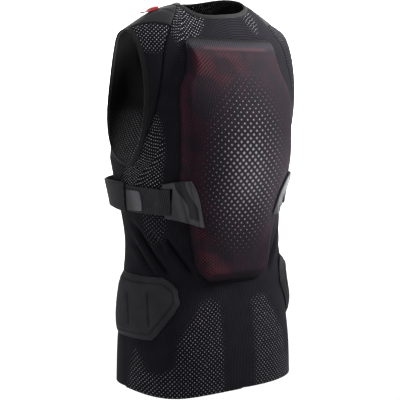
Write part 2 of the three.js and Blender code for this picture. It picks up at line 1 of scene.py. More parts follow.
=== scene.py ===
# %% [markdown]
# # A sleeveless protective vest
# The vest is a knitted body with a padded back protector, moulded strap anchors, an elastic waist
# belt and hip pads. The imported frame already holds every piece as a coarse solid. This lesson gives
# each piece its cloth, rubber or foam look: a fine mesh on the same form, and a node material.

# %% Load the frame
import math
from functools import partial

import bpy
import numpy as np
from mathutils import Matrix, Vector


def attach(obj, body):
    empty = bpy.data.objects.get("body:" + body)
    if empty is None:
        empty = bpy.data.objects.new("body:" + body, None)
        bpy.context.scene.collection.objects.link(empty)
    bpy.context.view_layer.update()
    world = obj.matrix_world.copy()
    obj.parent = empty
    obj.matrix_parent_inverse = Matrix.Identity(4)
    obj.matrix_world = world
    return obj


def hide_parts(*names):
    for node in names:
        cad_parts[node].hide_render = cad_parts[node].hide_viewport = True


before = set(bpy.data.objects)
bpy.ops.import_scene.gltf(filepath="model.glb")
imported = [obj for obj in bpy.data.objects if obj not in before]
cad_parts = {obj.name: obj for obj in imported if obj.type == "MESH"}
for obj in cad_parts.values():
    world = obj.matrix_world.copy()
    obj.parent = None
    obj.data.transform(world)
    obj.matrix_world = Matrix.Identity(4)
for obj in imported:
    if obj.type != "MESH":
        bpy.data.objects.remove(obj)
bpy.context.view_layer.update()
print("solids in the frame:", len(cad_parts))

# %% [markdown]
# ## The body form
# A worn vest has the shape of the trunk inside it. We could sculpt that by hand, but the same short
# tables that shape the solids also give any number of finer points, so the dressed vest and the
# solids agree everywhere. All sizes here are in millimetres; the meshes are made in metres.

# %% Rows of the trunk, from the hem up
MM = 0.001
CLOTH = 2.4
ROUNDNESS = 2.3  # power of the rounded box curve
DROOP = 1.6  # power by which a row sinks towards its edge
ARMPIT = 6
RIDGE = 11  # the level of the shoulder line
LAST = 2 * RIDGE


def table(names, rows):
    """Named columns as arrays, from a short list of rows."""
    return {name: np.array(values, float) for name, values in zip(names, zip(*rows))}


BACK = table(
    ["midZ", "midY", "turn"],
    [
        [-624, 111, 90], [-565, 109, 90], [-505, 101, 90], [-446, 92, 90], [-384, 89, 90],
        [-318, 97, 90], [-248, 114, 90], [-188, 119, 66], [-132, 110, 54], [-82, 91, 46], [-40, 76, 32],
        [14, 24, 14],
    ],
)
FRONT = table(
    ["midZ", "midY", "turn"],
    [
        [-10, -64, 32], [-54, -90, 46], [-112, -114, 54], [-178, -136, 66], [-245, -138, 90],
        [-318, -118, 90], [-384, -95, 90], [-445, -95, 90], [-502, -98, 90], [-560, -100, 90],
        [-616, -100, 90],
    ],
)
SIDE = table(
    ["z", "halfWidth"],
    [[-622, 152], [-563, 150], [-504, 145], [-446, 138], [-385, 134], [-320, 139], [-256, 149]],
)
STRIP = {name: np.concatenate([BACK[name], FRONT[name]]) for name in BACK}
print("rows from the back hem over the shoulder to the front hem:", len(STRIP["midZ"]))

# %% Curves between the rows


def lerp(a, b, t):
    return a + (b - a) * t


def smooth(value, low, high):
    t = np.clip((value - low) / (high - low), 0, 1)
    return t * t * (3 - 2 * t)


def bell(value):
    return np.exp(-value * value)


def through(values, t):
    """A smooth curve through equally spaced values, carried straight on past both ends."""
    t = np.asarray(t, float)
    last = len(values) - 1
    i = np.clip(np.floor(t).astype(int), 0, last - 1)
    b, c = values[i], values[i + 1]
    a = np.where(i > 0, values[np.maximum(i - 1, 0)], 2 * b - c)
    d = np.where(i + 2 <= last, values[np.minimum(i + 2, last)], 2 * c - b)
    f = t - i
    return b + 0.5 * f * (c - a + f * (2 * a - 5 * b + 4 * c - d + f * (3 * (b - c) + d - a)))


def level_of(s):
    return np.where(s <= RIDGE, s, LAST - s)


print("height of the back at the waist, mm:", through(STRIP["midZ"], 4.5))

# %% [markdown]
# Each row of the form ends at the side below the armpit and on the armhole above it. The armhole is a
# tilted oval that is cut deeper in front than behind. Between the middle of the back and the edge a row
# follows a rounded box curve, which is nearer to a real trunk than an ellipse.

# %% Points on the form
ARMHOLE = {"bottomX": 149, "bottomZ": -256, "tipX": 145, "tipY": 2, "tipZ": -40}
ARMHOLE_REACH = {"back": 55, "front": -84}
ARMHOLE_SCOOP = {"back": 3, "front": 21, "low": 0.4, "high": 1.6}
HEM_DIP = {"turn": 47, "width": 33, "depth": 10.5, "levels": 1.6}
LEAN = {"rise": 8, "left": (44, 98), "right": (40, 130), "fromLevel": 8.5}


def edge_of(s):
    """Where a row ends: at the side below the armpit, on the armhole above it."""
    s = np.asarray(s, float)
    level = level_of(s)
    back = s <= RIDGE
    climb = np.radians(-90 + 180 * (level - ARMPIT) / (RIDGE - ARMPIT))
    risen, gap = (1 + np.sin(climb)) / 2, np.cos(climb)
    scoop = np.where(back, ARMHOLE_SCOOP["back"], ARMHOLE_SCOOP["front"])
    scoop = scoop * gap**2 * lerp(ARMHOLE_SCOOP["low"], ARMHOLE_SCOOP["high"], risen)
    reach = np.where(back, ARMHOLE_REACH["back"], ARMHOLE_REACH["front"])
    x = lerp(ARMHOLE["bottomX"], ARMHOLE["tipX"], risen) - scoop
    y = ARMHOLE["tipY"] * risen + reach * gap
    z = lerp(ARMHOLE["bottomZ"], ARMHOLE["tipZ"], risen)
    low = level <= ARMPIT
    side = np.minimum(level, ARMPIT)
    x = np.where(low, through(SIDE["halfWidth"], side), x)
    return x, np.where(low, 0, y), np.where(low, through(SIDE["z"], side), z)


def rounded(value):
    return np.maximum(value, 0) ** (2 / ROUNDNESS)


def hem_dip(s, across):
    """How far the hem hangs lower at one place on the left of the back."""
    fade = np.clip(1 - s / HEM_DIP["levels"], 0, 2)
    dip = HEM_DIP["depth"] * fade**2 * bell((across * 90 - HEM_DIP["turn"]) / HEM_DIP["width"])
    return np.where(across < 0, 0, dip)


def lean(s, x):
    """The left shoulder hangs a little higher than the right one."""
    outward = np.where(x > 0, smooth(x, *LEAN["left"]), smooth(-x, *LEAN["right"]))
    return LEAN["rise"] * np.sign(x) * outward * smooth(level_of(s), LEAN["fromLevel"], RIDGE)


def body_point(s, across):
    """s runs along the strip; across from -1 at the right edge to 1 at the left edge."""
    s, across = np.broadcast_arrays(np.asarray(s, float), np.asarray(across, float))
    edge_x, edge_y, edge_z = edge_of(s)
    mid_y, mid_z = through(STRIP["midY"], s), through(STRIP["midZ"], s)
    turn = np.radians(through(STRIP["turn"], s))
    angle = np.abs(across) * turn
    reach = rounded(np.sin(angle)) / rounded(np.sin(turn))
    fall = (1 - rounded(np.cos(angle))) / (1 - rounded(np.cos(turn)))
    x = np.sign(across) * edge_x * reach
    y = mid_y + (edge_y - mid_y) * fall
    z = mid_z + (edge_z - mid_z) * reach**DROOP
    return np.stack([x, y, z + lean(s, x) - hem_dip(s, across)], -1)


def across_at(s, x):
    """The share of a row at which it passes a distance x from the middle."""
    turn = np.radians(through(STRIP["turn"], s))
    reach = np.abs(x) / edge_of(s)[0] * rounded(np.sin(turn))
    return np.sign(x) * np.arcsin(np.clip(reach ** (ROUNDNESS / 2), 0, 1)) / turn


print("left end of the waist row, mm:", body_point(4.5, 1.0).round(1))

# %% Lifting points off the form
NORMAL_STEP = 0.02  # how far apart the points are that give a normal
NORMAL_EDGE = 0.97  # beyond this share a row turns too sharply for one


def normal_at(s, across):
    a = np.clip(across, -NORMAL_EDGE, NORMAL_EDGE)
    up = body_point(s + NORMAL_STEP, a) - body_point(s - NORMAL_STEP, a)
    out = body_point(s, a + NORMAL_STEP) - body_point(s, a - NORMAL_STEP)
    normal = np.cross(up, out)
    return normal / np.linalg.norm(normal, axis=-1, keepdims=True)


def firm(s, across, lift):
    """A point lifted off the form: firm pieces pass over the folds of the cloth."""
    s, across, lift = np.broadcast_arrays(*(np.asarray(v, float) for v in (s, across, lift)))
    return body_point(s, across) + normal_at(s, across) * lift[..., None]


def on_ring(level, around):
    """Round the trunk at one level: 0 in the middle of the back, 1 at the side, 2 in front."""
    far = np.abs(around)
    back = far <= 1
    return np.where(back, level, LAST - level), np.where(back, around, np.sign(around) * (2 - far))


HALVINGS = 30


def level_where(height, z):
    """The level at which a rising height reaches z, found by halving."""
    low, high = np.zeros_like(z), np.full_like(z, RIDGE)
    for _ in range(HALVINGS):
        middle = (low + high) / 2
        below = height(middle) < z
        low, high = np.where(below, middle, low), np.where(below, high, middle)
    return low


def girth(turn, z, lift):
    """The place turned so many degrees round the trunk at the height z."""
    turn, z, lift = np.broadcast_arrays(*(np.asarray(v, float) for v in (turn, z, lift)))
    level = level_where(lambda trial: body_point(*on_ring(trial, turn / 90))[..., 2], z)
    return firm(*on_ring(level, turn / 90), lift)


def back_level(x, z):
    """The level at which the back passes a distance x from the middle at the height z."""
    x, z = np.broadcast_arrays(np.asarray(x, float), np.asarray(z, float))
    return level_where(lambda trial: body_point(trial, across_at(trial, x))[..., 2], z)


print("hip, 70 degrees round, mm:", girth(70.0, -480.0, 0.0).round(1))

# %% [markdown]
# ## Folds in the cloth
# Below the waist strap the knit is pulled into a few slanting tension folds. A cloth simulation would
# make folds too, but not these ones, so each fold is a row of a table: where it starts and ends, how
# wide and how deep it is. Two shallow ones among them keep the cloth from looking like a shell.

# %% Tension folds
MM_PER_DEGREE = 2.0
FOLD_FADE = {"start": -0.25, "full": 0.2, "fading": 0.8, "end": 1.25}
# The cloth heaps up beside the valley of each fold.
FOLD_RIDGE = {"valley": 2.0, "power": 1.3, "height": 0.35, "out": 2.0, "soft": 0.9}
FOLDS = [
    # from turn, from z, to turn, to z, width, depth
    [88, -358, 53, -428, 5, 4.2],
    [54, -372, 31, -430, 4.5, 3.8],
    [90, -386, 66, -432, 5, 2.4],
    [70, -362, 56, -392, 4.5, 2.0],
]


def fold_depth(turn, z):
    depth = np.zeros(np.broadcast(turn, z).shape)
    for from_turn, from_z, to_turn, to_z, width, deep in FOLDS:
        dx, dz = (to_turn - from_turn) * MM_PER_DEGREE, to_z - from_z
        px, pz = (turn - from_turn) * MM_PER_DEGREE, z - from_z
        along = (px * dx + pz * dz) / (dx * dx + dz * dz)
        beside = (px * dz - pz * dx) / math.hypot(dx, dz)
        begun = smooth(along, FOLD_FADE["start"], FOLD_FADE["full"])
        ended = smooth(along, FOLD_FADE["fading"], FOLD_FADE["end"])
        valley = np.exp(-np.abs(beside / width) ** FOLD_RIDGE["power"])
        ridges = bell((np.abs(beside) - FOLD_RIDGE["out"] * width) / (FOLD_RIDGE["soft"] * width))
        shape = FOLD_RIDGE["valley"] * valley - FOLD_RIDGE["height"] * ridges
        depth += deep * begun * (1 - ended) * shape
    return depth


def dent_at(s, across):
    """How deep the folds are at a place; they end at the armpit."""
    far = np.abs(across) * 90
    turn = np.where(s <= RIDGE, far, 180 - far)
    dent = fold_depth(turn, body_point(s, across)[..., 2])
    return np.where(level_of(s) < ARMPIT, dent, 0)


def skin(s, across, lift):
    """A point of the cloth, which follows the folds."""
    s, across, lift = np.broadcast_arrays(*(np.asarray(v, float) for v in (s, across, lift)))
    return firm(s, across, lift - dent_at(s, across))


print("folds:", len(FOLDS))

# %% [markdown]
# ## From points to a closed piece
# Cloth has two faces and a rolled edge. Blender's Solidify modifier could thicken a sheet, but the
# edges would be square. Here both faces are written as lattices of points, the rim joins them, and the
# thickness falls off in a quarter circle beside every edge. Each piece also gets a UV map in metres,
# measured along the cloth, so that ribs and dots keep their real size.

# %% Steps and lips
NEAR_EDGE = np.array([0.0, 0.1, 0.35, 1.0])  # shares of the lip at which it has rows
THINNEST = 0.12


def steps(count, length, lip=1.2):
    """Shares from 0 to 1, with a few close ones beside both ends for the rolled edge."""
    near = NEAR_EDGE * lip / length
    return np.concatenate([near[:-1], np.linspace(near[-1], 1 - near[-1], count), 1 - near[:-1][::-1]])


def lip_share(edge, lip=1.2):
    """Thickness beside an edge, as a share of the full one."""
    inward = 1 - np.clip(edge / lip, 0, 1)
    return np.maximum(np.sqrt(1 - inward**2), THINNEST)


def cloth_uv(face, wrap=False):
    """Distances across and up a lattice, in metres, counted from its middle column."""
    ring = np.concatenate([face, face[:, :1]], 1) if wrap else face
    across = np.linalg.norm(np.diff(ring, axis=1), axis=-1).cumsum(1)
    across = np.concatenate([np.zeros((len(ring), 1)), across], 1)
    across -= across[:, [ring.shape[1] // 2]]
    up = np.linalg.norm(np.diff(ring, axis=0), axis=-1).cumsum(0)
    up = np.concatenate([np.zeros((1, ring.shape[1])), up], 0)
    return np.stack([across, up], -1) * MM


print("thickness at the very edge, share:", lip_share(0.0))

# %% Faces of a wall
CELL = [(0, 0), (0, 1), (1, 1), (1, 0)]
BEYOND = [(-1, 0), (0, 1), (1, 0), (0, -1)]


def wall_faces(filled, wrap):
    """Corners (face, row, column) of the quads of both faces and of every rim."""
    r, c = np.nonzero(filled)
    side = np.zeros_like(r)
    quad = np.stack([np.stack([side, r + dr, c + dc], -1) for dr, dc in CELL], 1)
    inner = quad[:, ::-1].copy()
    inner[..., 0] = 1
    faces = [quad, inner]
    for i, (dr, dc) in enumerate(BEYOND):
        rr, cc = r + dr, (c + dc) % filled.shape[1] if wrap else c + dc
        inside = (rr >= 0) & (rr < filled.shape[0]) & (cc >= 0) & (cc < filled.shape[1])
        near = filled[np.clip(rr, 0, filled.shape[0] - 1), np.clip(cc, 0, filled.shape[1] - 1)]
        rim = ~(inside & near)
        (pr, pc), (qr, qc) = CELL[i], CELL[(i + 1) % 4]
        ends = [(0, qr, qc), (0, pr, pc), (1, pr, pc), (1, qr, qc)]
        sides = [np.stack([side[rim] + f, r[rim] + er, c[rim] + ec], -1) for f, er, ec in ends]
        faces.append(np.stack(sides, 1))
    return np.concatenate(faces)


print("corners of one cell:", CELL)

# %% A piece from two lattices
SHARP = math.radians(50)


def make_piece(name, outer, inner, material, marks=None, filled=None, wrap=False, uv=None):
    """A closed mesh between two lattices in millimetres, with a UV map and named marks."""
    rows, columns = outer.shape[:2]
    if filled is None:
        filled = np.ones((rows - 1, columns if wrap else columns - 1), bool)
    corners = wall_faces(filled, wrap)
    points = np.concatenate([outer.reshape(-1, 3), inner.reshape(-1, 3)]) * MM
    index = corners[..., 0] * rows * columns + corners[..., 1] * columns + corners[..., 2] % columns
    a, b, c, d = (points[index[:, i]] for i in range(4))
    volume = (a * np.cross(b, c)).sum() + (a * np.cross(c, d)).sum()
    if volume < 0:
        index, corners = index[:, ::-1], corners[:, ::-1]
    mesh = bpy.data.meshes.new(name)
    mesh.from_pydata(points.tolist(), [], index.tolist())
    mesh.polygons.foreach_set("use_smooth", np.ones(len(index), bool))
    mesh.set_sharp_from_angle(angle=SHARP)
    grid = cloth_uv(outer, wrap) if uv is None else uv
    layer = mesh.uv_layers.new(name="cloth")
    layer.data.foreach_set("uv", grid[corners[..., 1], corners[..., 2]].astype(np.float32).ravel())
    for mark, values in (marks or {}).items():
        values = np.broadcast_to(values, (rows, columns)).astype(np.float32).ravel()
        mesh.attributes.new(mark, "FLOAT", "POINT").data.foreach_set("value", np.tile(values, 2))
    inside = np.repeat(np.array([0, 1], np.float32), rows * columns)
    mesh.attributes.new("inside", "FLOAT", "POINT").data.foreach_set("value", inside)
    mesh.materials.append(material)
    piece = bpy.data.objects.new(name, mesh)
    bpy.context.scene.collection.objects.link(piece)
    return piece


def dress(piece, slot, *nodes):
    """The piece stands for these solids and rides with the vest."""
    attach(piece, "root")
    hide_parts(*nodes)
    return piece


def declare_sheet(outer):
    """Measures the size of a piece of cloth; nothing uses it."""
    size = cloth_uv(outer)


# %% [markdown]
# ## Finishes
# Every finish starts from what the real material is. One function turns an sRGB hex colour into the
# linear numbers that the shader wants, and one adds a node with its settings and links. Two more start
# and end a material: it reads the place on the cloth and the marks that a piece carries, and it ends in
# a relief and a surface.

# %% Colours and nodes


def linear(code):
    parts = [int(code[i : i + 2], 16) / 255 for i in (1, 3, 5)]
    parts = [c / 12.92 if c <= 0.04045 else ((c + 0.055) / 1.055) ** 2.4 for c in parts]
    return (*parts, 1.0)


def add(tree, kind, inputs=None, **settings):
    """One shader node; each input gets a value, a hex colour or the socket that feeds it."""
    made = tree.nodes.new("ShaderNode" + kind)
    for name, value in settings.items():
        setattr(made, name, value)
    for key, value in (inputs or {}).items():
        if isinstance(value, bpy.types.NodeSocket):
            tree.links.new(value, made.inputs[key])
        else:
            made.inputs[key].default_value = linear(value) if isinstance(value, str) else value
    usable = [socket for socket in made.outputs if socket.enabled]
    return made.outputs.get("Fac", usable[0] if usable else None)


def new_material(name, *marks):
    """An empty material, the place on the cloth in metres, and the marks that are asked for."""
    material = bpy.data.materials.new(name)
    material.use_nodes = True
    tree = material.node_tree
    tree.nodes.clear()
    place = add(tree, "UVMap", uv_map="cloth")
    return material, tree, place, *(add(tree, "Attribute", attribute_name=mark) for mark in marks)


def coat(material, colour, height, relief, surface):
    """Ends a material: relief is the strength and the depth in mm of the height that it shows."""
    tree, (strength, depth) = material.node_tree, relief
    bump = add(tree, "Bump", {"Height": height, "Strength": strength, "Distance": depth * MM})
    surface = {"Base Color": colour, "Normal": bump, "IOR": 1.5} | surface
    add(tree, "OutputMaterial", {"Surface": add(tree, "BsdfPrincipled", surface)})
    return material


print("black yarn, linear:", linear("#1b1b1f"))

# %% [markdown]
# ### Polyester rib knit
# The body is knitted from black polyester yarn. Its wales stand up as fine ribs, and where the knit is
# open for air, small holes in staggered rows catch the light as pale dots. Cloth like this has almost
# no gloss, but its fibres glow a little at grazing angles, which the sheen gives. The real wales are
# about 1.5 mm apart; here they are 3 mm, because finer ones would not show at this distance.

# %% Rib knit material
# The darkest colour is the plain black back of the knit, and it is also painted on inner faces as shade.
KNIT = {"yarn": "#0d0c10", "crest": "#25232b", "pale": "#e2e0ea", "plain_back_and_shade": "#030304", "seam": "#010102"}
KNIT_MM = {"wale": 3.0, "course": 4.7, "hole": 5.2, "holeRadius": 0.74}
KNIT_HOLE = {"outside": 1.3, "inside": 0.7, "palest": 1.0, "darkest": 0.35, "thin": 0.6, "sunk": -1.5}
KNIT_WEAR = {"Scale": 35.0, "Detail": 3.0}
KNIT_RELIEF = (0.7, 0.6)
KNIT_FACE = {"Roughness": 0.85, "Sheen Weight": 0.02, "Sheen Roughness": 0.5, "Specular IOR Level": 0.06}
LEVEL_GAIN = 1.1  # ribs that lie level are this much bolder than upright ones
DIAGONAL = (0, 0, math.pi / 4)  # staggers the holes
WAVE_TURN = 2 * math.pi / 20  # the wave texture repeats after this many units at scale 1


def rib_knit(name):
    marks = "open_mesh", "level_rib", "inside", "seam"
    material, tree, place, opened, level, inside, sewn = new_material(name, *marks)
    wale, course = (WAVE_TURN / (KNIT_MM[key] * MM) for key in ("wale", "course"))
    upright = add(tree, "TexWave", {"Vector": place, "Scale": wale}, bands_direction="X")
    lying = add(tree, "TexWave", {"Vector": place, "Scale": course}, bands_direction="Y")
    rib = add(tree, "Mix", {"Factor": level, "A": upright, "B": lying}, data_type="FLOAT")
    bolder = add(tree, "MapRange", {"Value": level, "To Min": 1.0, "To Max": LEVEL_GAIN})
    turned = add(tree, "Mapping", {"Vector": place, "Rotation": DIAGONAL})
    cells = {"Vector": turned, "Scale": 1 / (KNIT_MM["hole"] * MM), "Randomness": 0.0}
    centre = add(tree, "TexVoronoi", cells, voronoi_dimensions="2D")
    radius = KNIT_MM["holeRadius"] / KNIT_MM["hole"]
    bounds = {"From Min": radius * KNIT_HOLE["outside"], "From Max": radius * KNIT_HOLE["inside"]}
    hole = add(tree, "MapRange", {"Value": centre} | bounds)
    shown = add(tree, "Math", {0: hole, 1: opened}, operation="MULTIPLY")
    uneven = {"To Min": KNIT_HOLE["darkest"], "To Max": KNIT_HOLE["palest"]}
    uneven = add(tree, "MapRange", {"Value": centre.node.outputs["Color"]} | uneven)
    pale = add(tree, "Math", {0: shown, 1: uneven}, operation="MULTIPLY")
    thin = add(tree, "Math", {0: opened, 1: KNIT_HOLE["thin"]}, operation="MULTIPLY")
    worn = add(tree, "TexNoise", {"Vector": place} | KNIT_WEAR)
    shade = add(tree, "Math", {0: rib, 1: worn}, operation="MULTIPLY")
    shade = add(tree, "Math", {0: shade, 1: bolder}, operation="MULTIPLY")
    ribs = {"Factor": shade, "A": KNIT["yarn"], "B": KNIT["crest"]}
    colour = add(tree, "Mix", ribs, data_type="RGBA", clamp_factor=False)
    # painted shade: inner faces take the darkest colour as shade inside the vest, and the seam colour
    # also darkens the fold valleys
    for factor, over in ((thin, "plain_back_and_shade"), (sewn, "seam"), (inside, "plain_back_and_shade"), (pale, "pale")):
        colour = add(tree, "Mix", {"Factor": factor, "A": colour, "B": KNIT[over]}, data_type="RGBA")
    ridge = add(tree, "Math", {0: rib, 1: bolder}, operation="MULTIPLY")
    height = add(tree, "Math", {0: shown, 1: KNIT_HOLE["sunk"], 2: ridge}, operation="MULTIPLY_ADD")
    return coat(material, colour, height, KNIT_RELIEF, KNIT_FACE)


polyester_rib_knit = rib_knit("polyester_rib_knit")
print("wales every", KNIT_MM["wale"], "mm, holes every", KNIT_MM["hole"], "mm")

# %% [markdown]
# ## Zones of open knit
# The machine knits some areas open, for air: beside the neck, on the shoulders, under the arms and
# along the lower back. A painted mask would need an image, so each zone is a short outline on the
# body, and every point of the cloth knows how far it lies inside one.

# %% Outlines


def outline_distance(outline, x, z):
    """How far points lie inside a closed outline; outside is negative."""
    points = np.array(outline, float)
    nearest = np.full(np.broadcast(x, z).shape, 1e9)
    inside = np.zeros(nearest.shape, bool)
    for (ax, az), (bx, bz) in zip(points, np.roll(points, -1, 0)):
        dx, dz = bx - ax, bz - az
        along = np.clip(((x - ax) * dx + (z - az) * dz) / (dx * dx + dz * dz), 0, 1)
        nearest = np.minimum(nearest, np.hypot(x - ax - along * dx, z - az - along * dz))
        if dz:
            inside ^= ((az > z) != (bz > z)) & (x < ax + dx * (z - az) / dz)
    return np.where(inside, nearest, -nearest)


# Each zone: its outline (distance round the body from the middle of the back, height), its strength and
# the sides of the body that have it, left being 1.
OPEN_ZONES = {
    "beside the neck": ([(36, 6), (110, 6), (112, -30), (98, -52), (62, -44), (44, -26)], 0.85, (1,)),
    "beside the neck, right": ([(34, 2), (58, 2), (70, -30), (58, -46), (44, -30)], 0.7, (-1,)),
    "under the arm": (
        [(150, -165), (178, -165), (240, -215), (250, -287), (136, -287), (141, -215)],
        0.85,
        (1, -1),
    ),
    "under the strap": ([(118, -331), (168, -331), (150, -385), (122, -372)], 0.22, (1, -1)),
    "lower back": (
        [
            (33, -482), (48, -474), (64, -478), (86, -510), (108, -541), (115, -583), (142, -596),
            (166, -590), (180, -564), (188, -555), (200, -575), (208, -620), (200, -650), (33, -650),
        ],
        0.55,
        (1, -1),
    ),
}
SOFT_EDGE = 6.0


def open_share(round_mm, z):
    share = np.zeros(np.broadcast(round_mm, z).shape)
    for outline, strength, hands in OPEN_ZONES.values():
        for hand in hands:
            inside = outline_distance(outline, hand * round_mm, z)
            share = np.maximum(share, strength * smooth(inside, -SOFT_EDGE, SOFT_EDGE))
    return share


print("open zones:", ", ".join(OPEN_ZONES))

# %% [markdown]
# ## The knitted panels
# The back panel wraps round both sides to a seam on each front. Two fronts, each with an upper and a
# lower half, meet at the zip, and a narrow panel lies between the back and each armhole. Each is one
# lattice that follows its seams.

# %% Seams
NECK = {"halfWidth": 66, "backLevel": 10.34, "frontLevel": 10.06}
FRONT_SEAM = 1.28
FRONT_SEAM_TURNS_IN = 4.4
SHOULDER_SEAM_START = 7.7
SHOULDER_SEAM_FIRST = 8
SHOULDER_SEAM_X = np.array([140, 126, 110, NECK["halfWidth"]], float)
YOKE = {"backLevel": 10.36, "backEdgeLevel": 10.98, "frontEdgeLevel": 10.25, "corner": 0.45}
SEAM = 0.002  # panels overlap by this share of a row, so that no light passes
neck_share = across_at(RIDGE, NECK["halfWidth"])


def shoulder_seam_x(level):
    return through(SHOULDER_SEAM_X, level - SHOULDER_SEAM_FIRST)


def back_reach(level):
    """How far round the back panel reaches at a level."""
    share = np.clip((level - FRONT_SEAM_TURNS_IN) / (ARMPIT - FRONT_SEAM_TURNS_IN), 0, 1)
    low = lerp(FRONT_SEAM, 1, share**2)
    seam = np.minimum(1, across_at(level, shoulder_seam_x(level)))
    return np.where(level <= SHOULDER_SEAM_START, low, seam)


def back_neck_level(share):
    return lerp(NECK["backLevel"], RIDGE, share**2)


def front_neck_level(share):
    return lerp(NECK["frontLevel"], RIDGE, share**2)


print("the neck takes", round(float(neck_share), 3), "of the shoulder line")

# %% A panel of cloth


def cloth_panel(name, place, rows, columns, size, material, marks=None, hand=1, thickness=CLOTH):
    """A panel on the body form, at the place of each share up and across; hand -1 mirrors it."""
    up, across = steps(rows, size[1])[:, None], steps(columns, size[0])[None, :]
    edge_up = np.minimum(up, 1 - up) * size[1]
    edge = np.minimum(edge_up, np.minimum(across, 1 - across) * size[0])
    s, a = np.broadcast_arrays(*place(up, across))
    a = hand * a
    half = thickness / 2 * lip_share(edge)
    outer = skin(s, a, thickness / 2 + half)
    inner = skin(s, a, thickness / 2 - half)
    found = marks(s, a, outer) if marks else {}
    if "seam" in found:
        outer = skin(s, a, thickness / 2 + half * (1 - SEAM_SUNK * found["seam"]))
    return make_piece(name, outer, inner, material, found), outer


SEAM_LINE = 3.0  # half the width of the dark line that a flat seam shows, in mm
UPPER_BACK = {"z": (-92, -70), "round": (-130, -110)}  # where ribs start to lie level
SEAM_SUNK = 0.7  # a flat seam presses the cloth together by this share
PAINTED_FOLD_SHADE = {"most": 0.6, "from": 1, "to": 6}  # painted shade: the knit is painted darker in the valley of a fold


def body_marks(s, across, outer):
    """Open knit by zone; level ribs across the upper back; seams at row ends; painted shade in fold
    valleys.
    """
    round_mm = cloth_uv(outer)[..., 0] / MM
    z = outer[..., 2]
    upper = smooth(z, *UPPER_BACK["z"]) * smooth(-np.abs(round_mm), *UPPER_BACK["round"])
    from_end = np.minimum(round_mm - round_mm[:, :1], round_mm[:, -1:] - round_mm)
    seam = bell(from_end / SEAM_LINE)
    valley = PAINTED_FOLD_SHADE["most"] * smooth(dent_at(s, across), PAINTED_FOLD_SHADE["from"], PAINTED_FOLD_SHADE["to"])
    return {
        "open_mesh": open_share(round_mm, z) * (1 - seam),
        "level_rib": upper * (s < RIDGE),
        # the seam mark also carries the painted shade of the fold valleys
        "seam": np.maximum(seam, valley),
    }


print("cloth", CLOTH, "mm thick")

# %% Back panel


def back_place(up, across):
    share = 2 * across - 1
    level = up * back_neck_level(share)
    reach = back_reach(level) + SEAM
    return on_ring(level, share * np.where(level > ARMPIT, np.minimum(reach, 1), reach))


BACK_MM = (480, 600)
back_cloth, face = cloth_panel(
    "back_cloth", back_place, 190, 240, BACK_MM, polyester_rib_knit, body_marks
)
dress(back_cloth, "knit", "back_panel")
declare_sheet(face)

# %% Front panels
SIDES = ((1, "left"), (-1, "right"))
FRONT_MM, FRONT_COLUMNS = 190, 56
BELT_SEAM = 5.14
FRONT_EVEN = {"share": 5 / 11, "level": 8.0}
ZIP = {"halfWidth": 7, "wall": 3.4, "sunk": 0.4, "tucked": 0.8}
NECK_COLUMNS = 0.44


def lower_level(up, top):
    """The lower half ends in a level seam, so the top of the front does not matter."""
    return up * (BELT_SEAM + SEAM)


def upper_level(up, top):
    rising = (up - FRONT_EVEN["share"]) / (1 - FRONT_EVEN["share"])
    even = lerp(BELT_SEAM, FRONT_EVEN["level"], up / FRONT_EVEN["share"])
    return np.where(up < FRONT_EVEN["share"], even, lerp(FRONT_EVEN["level"], top, rising))


def front_place(up, across, level_at):
    in_neck = across <= NECK_COLUMNS
    rest = (across - NECK_COLUMNS) / (1 - NECK_COLUMNS)
    share = np.where(in_neck, across / NECK_COLUMNS, rest)
    top = np.where(in_neck, front_neck_level(share), lerp(RIDGE, YOKE["frontEdgeLevel"], share))
    level = level_at(up, top)
    reach = np.minimum(np.where(level <= ARMPIT, 2 - back_reach(level), 1) + SEAM, 1)
    zip_edge = across_at(LAST - level, ZIP["halfWidth"] - ZIP["tucked"])
    a = np.where(in_neck, lerp(zip_edge, neck_share, share), lerp(neck_share, reach, share))
    return LAST - level, a


FRONT_OPEN = {
    "chest": ([(30, -185), (150, -170), (150, -300), (30, -300)], 0.25),
    "neck": ([(8, 0), (60, 20), (60, -60), (8, -90)], 1.0),
}


def front_marks(s, across, outer):
    share = 0.0
    for outline, strength in FRONT_OPEN.values():
        inside = outline_distance(outline, np.abs(outer[..., 0]), outer[..., 2])
        share = np.maximum(share, strength * smooth(inside, -SOFT_EDGE, SOFT_EDGE))
    return {"open_mesh": share, "level_rib": 0.0, "seam": 0.0}


FRONT_HALVES = {
    # solid: how its rows rise, rows, height in mm, what holds it
    "front_panel": (upper_level, 70, 320, "yoke"),
    "lower_front": (lower_level, 50, 300, "front_panel"),
}

for hand, side in SIDES:
    for node, (level_at, rows, tall, holder) in FRONT_HALVES.items():
        name, place = f"{node}_cloth_{side}", partial(front_place, level_at=level_at)
        shape = name, place, rows, FRONT_COLUMNS, (FRONT_MM, tall)
        piece, face = cloth_panel(*shape, polyester_rib_knit, front_marks, hand)
        dress(piece, "knit", f"{node}_{side}")
        declare_sheet(face)

# %% Shoulder panels
yoke_corner_x = shoulder_seam_x(YOKE["backLevel"])
yoke_edge_x = edge_of(YOKE["backEdgeLevel"])[0]


def shoulder_place(up, across):
    top = lerp(YOKE["backLevel"], YOKE["backEdgeLevel"], across)
    level = lerp(SHOULDER_SEAM_START, top, up)
    top_seam = shoulder_seam_x(top)
    top_share = (lerp(yoke_corner_x, yoke_edge_x, across) - top_seam) / (edge_of(top)[0] - top_seam)
    share = np.clip(lerp(across, top_share, up), 0, 1)
    inside = np.minimum(across_at(level, shoulder_seam_x(level)) - SEAM, 1 - SEAM)
    return level, lerp(inside, 1, share)


SHOULDER_OPEN = {1: 0.9, -1: 0.2}  # seen edge on, the right one shows its ribs and hardly any holes
SHOULDER_RIBS = {1: 0.2, -1: 1.0}
SHOULDER_OPEN_Z = (-70, -58)
SHOULDER_MM = (40, 150)


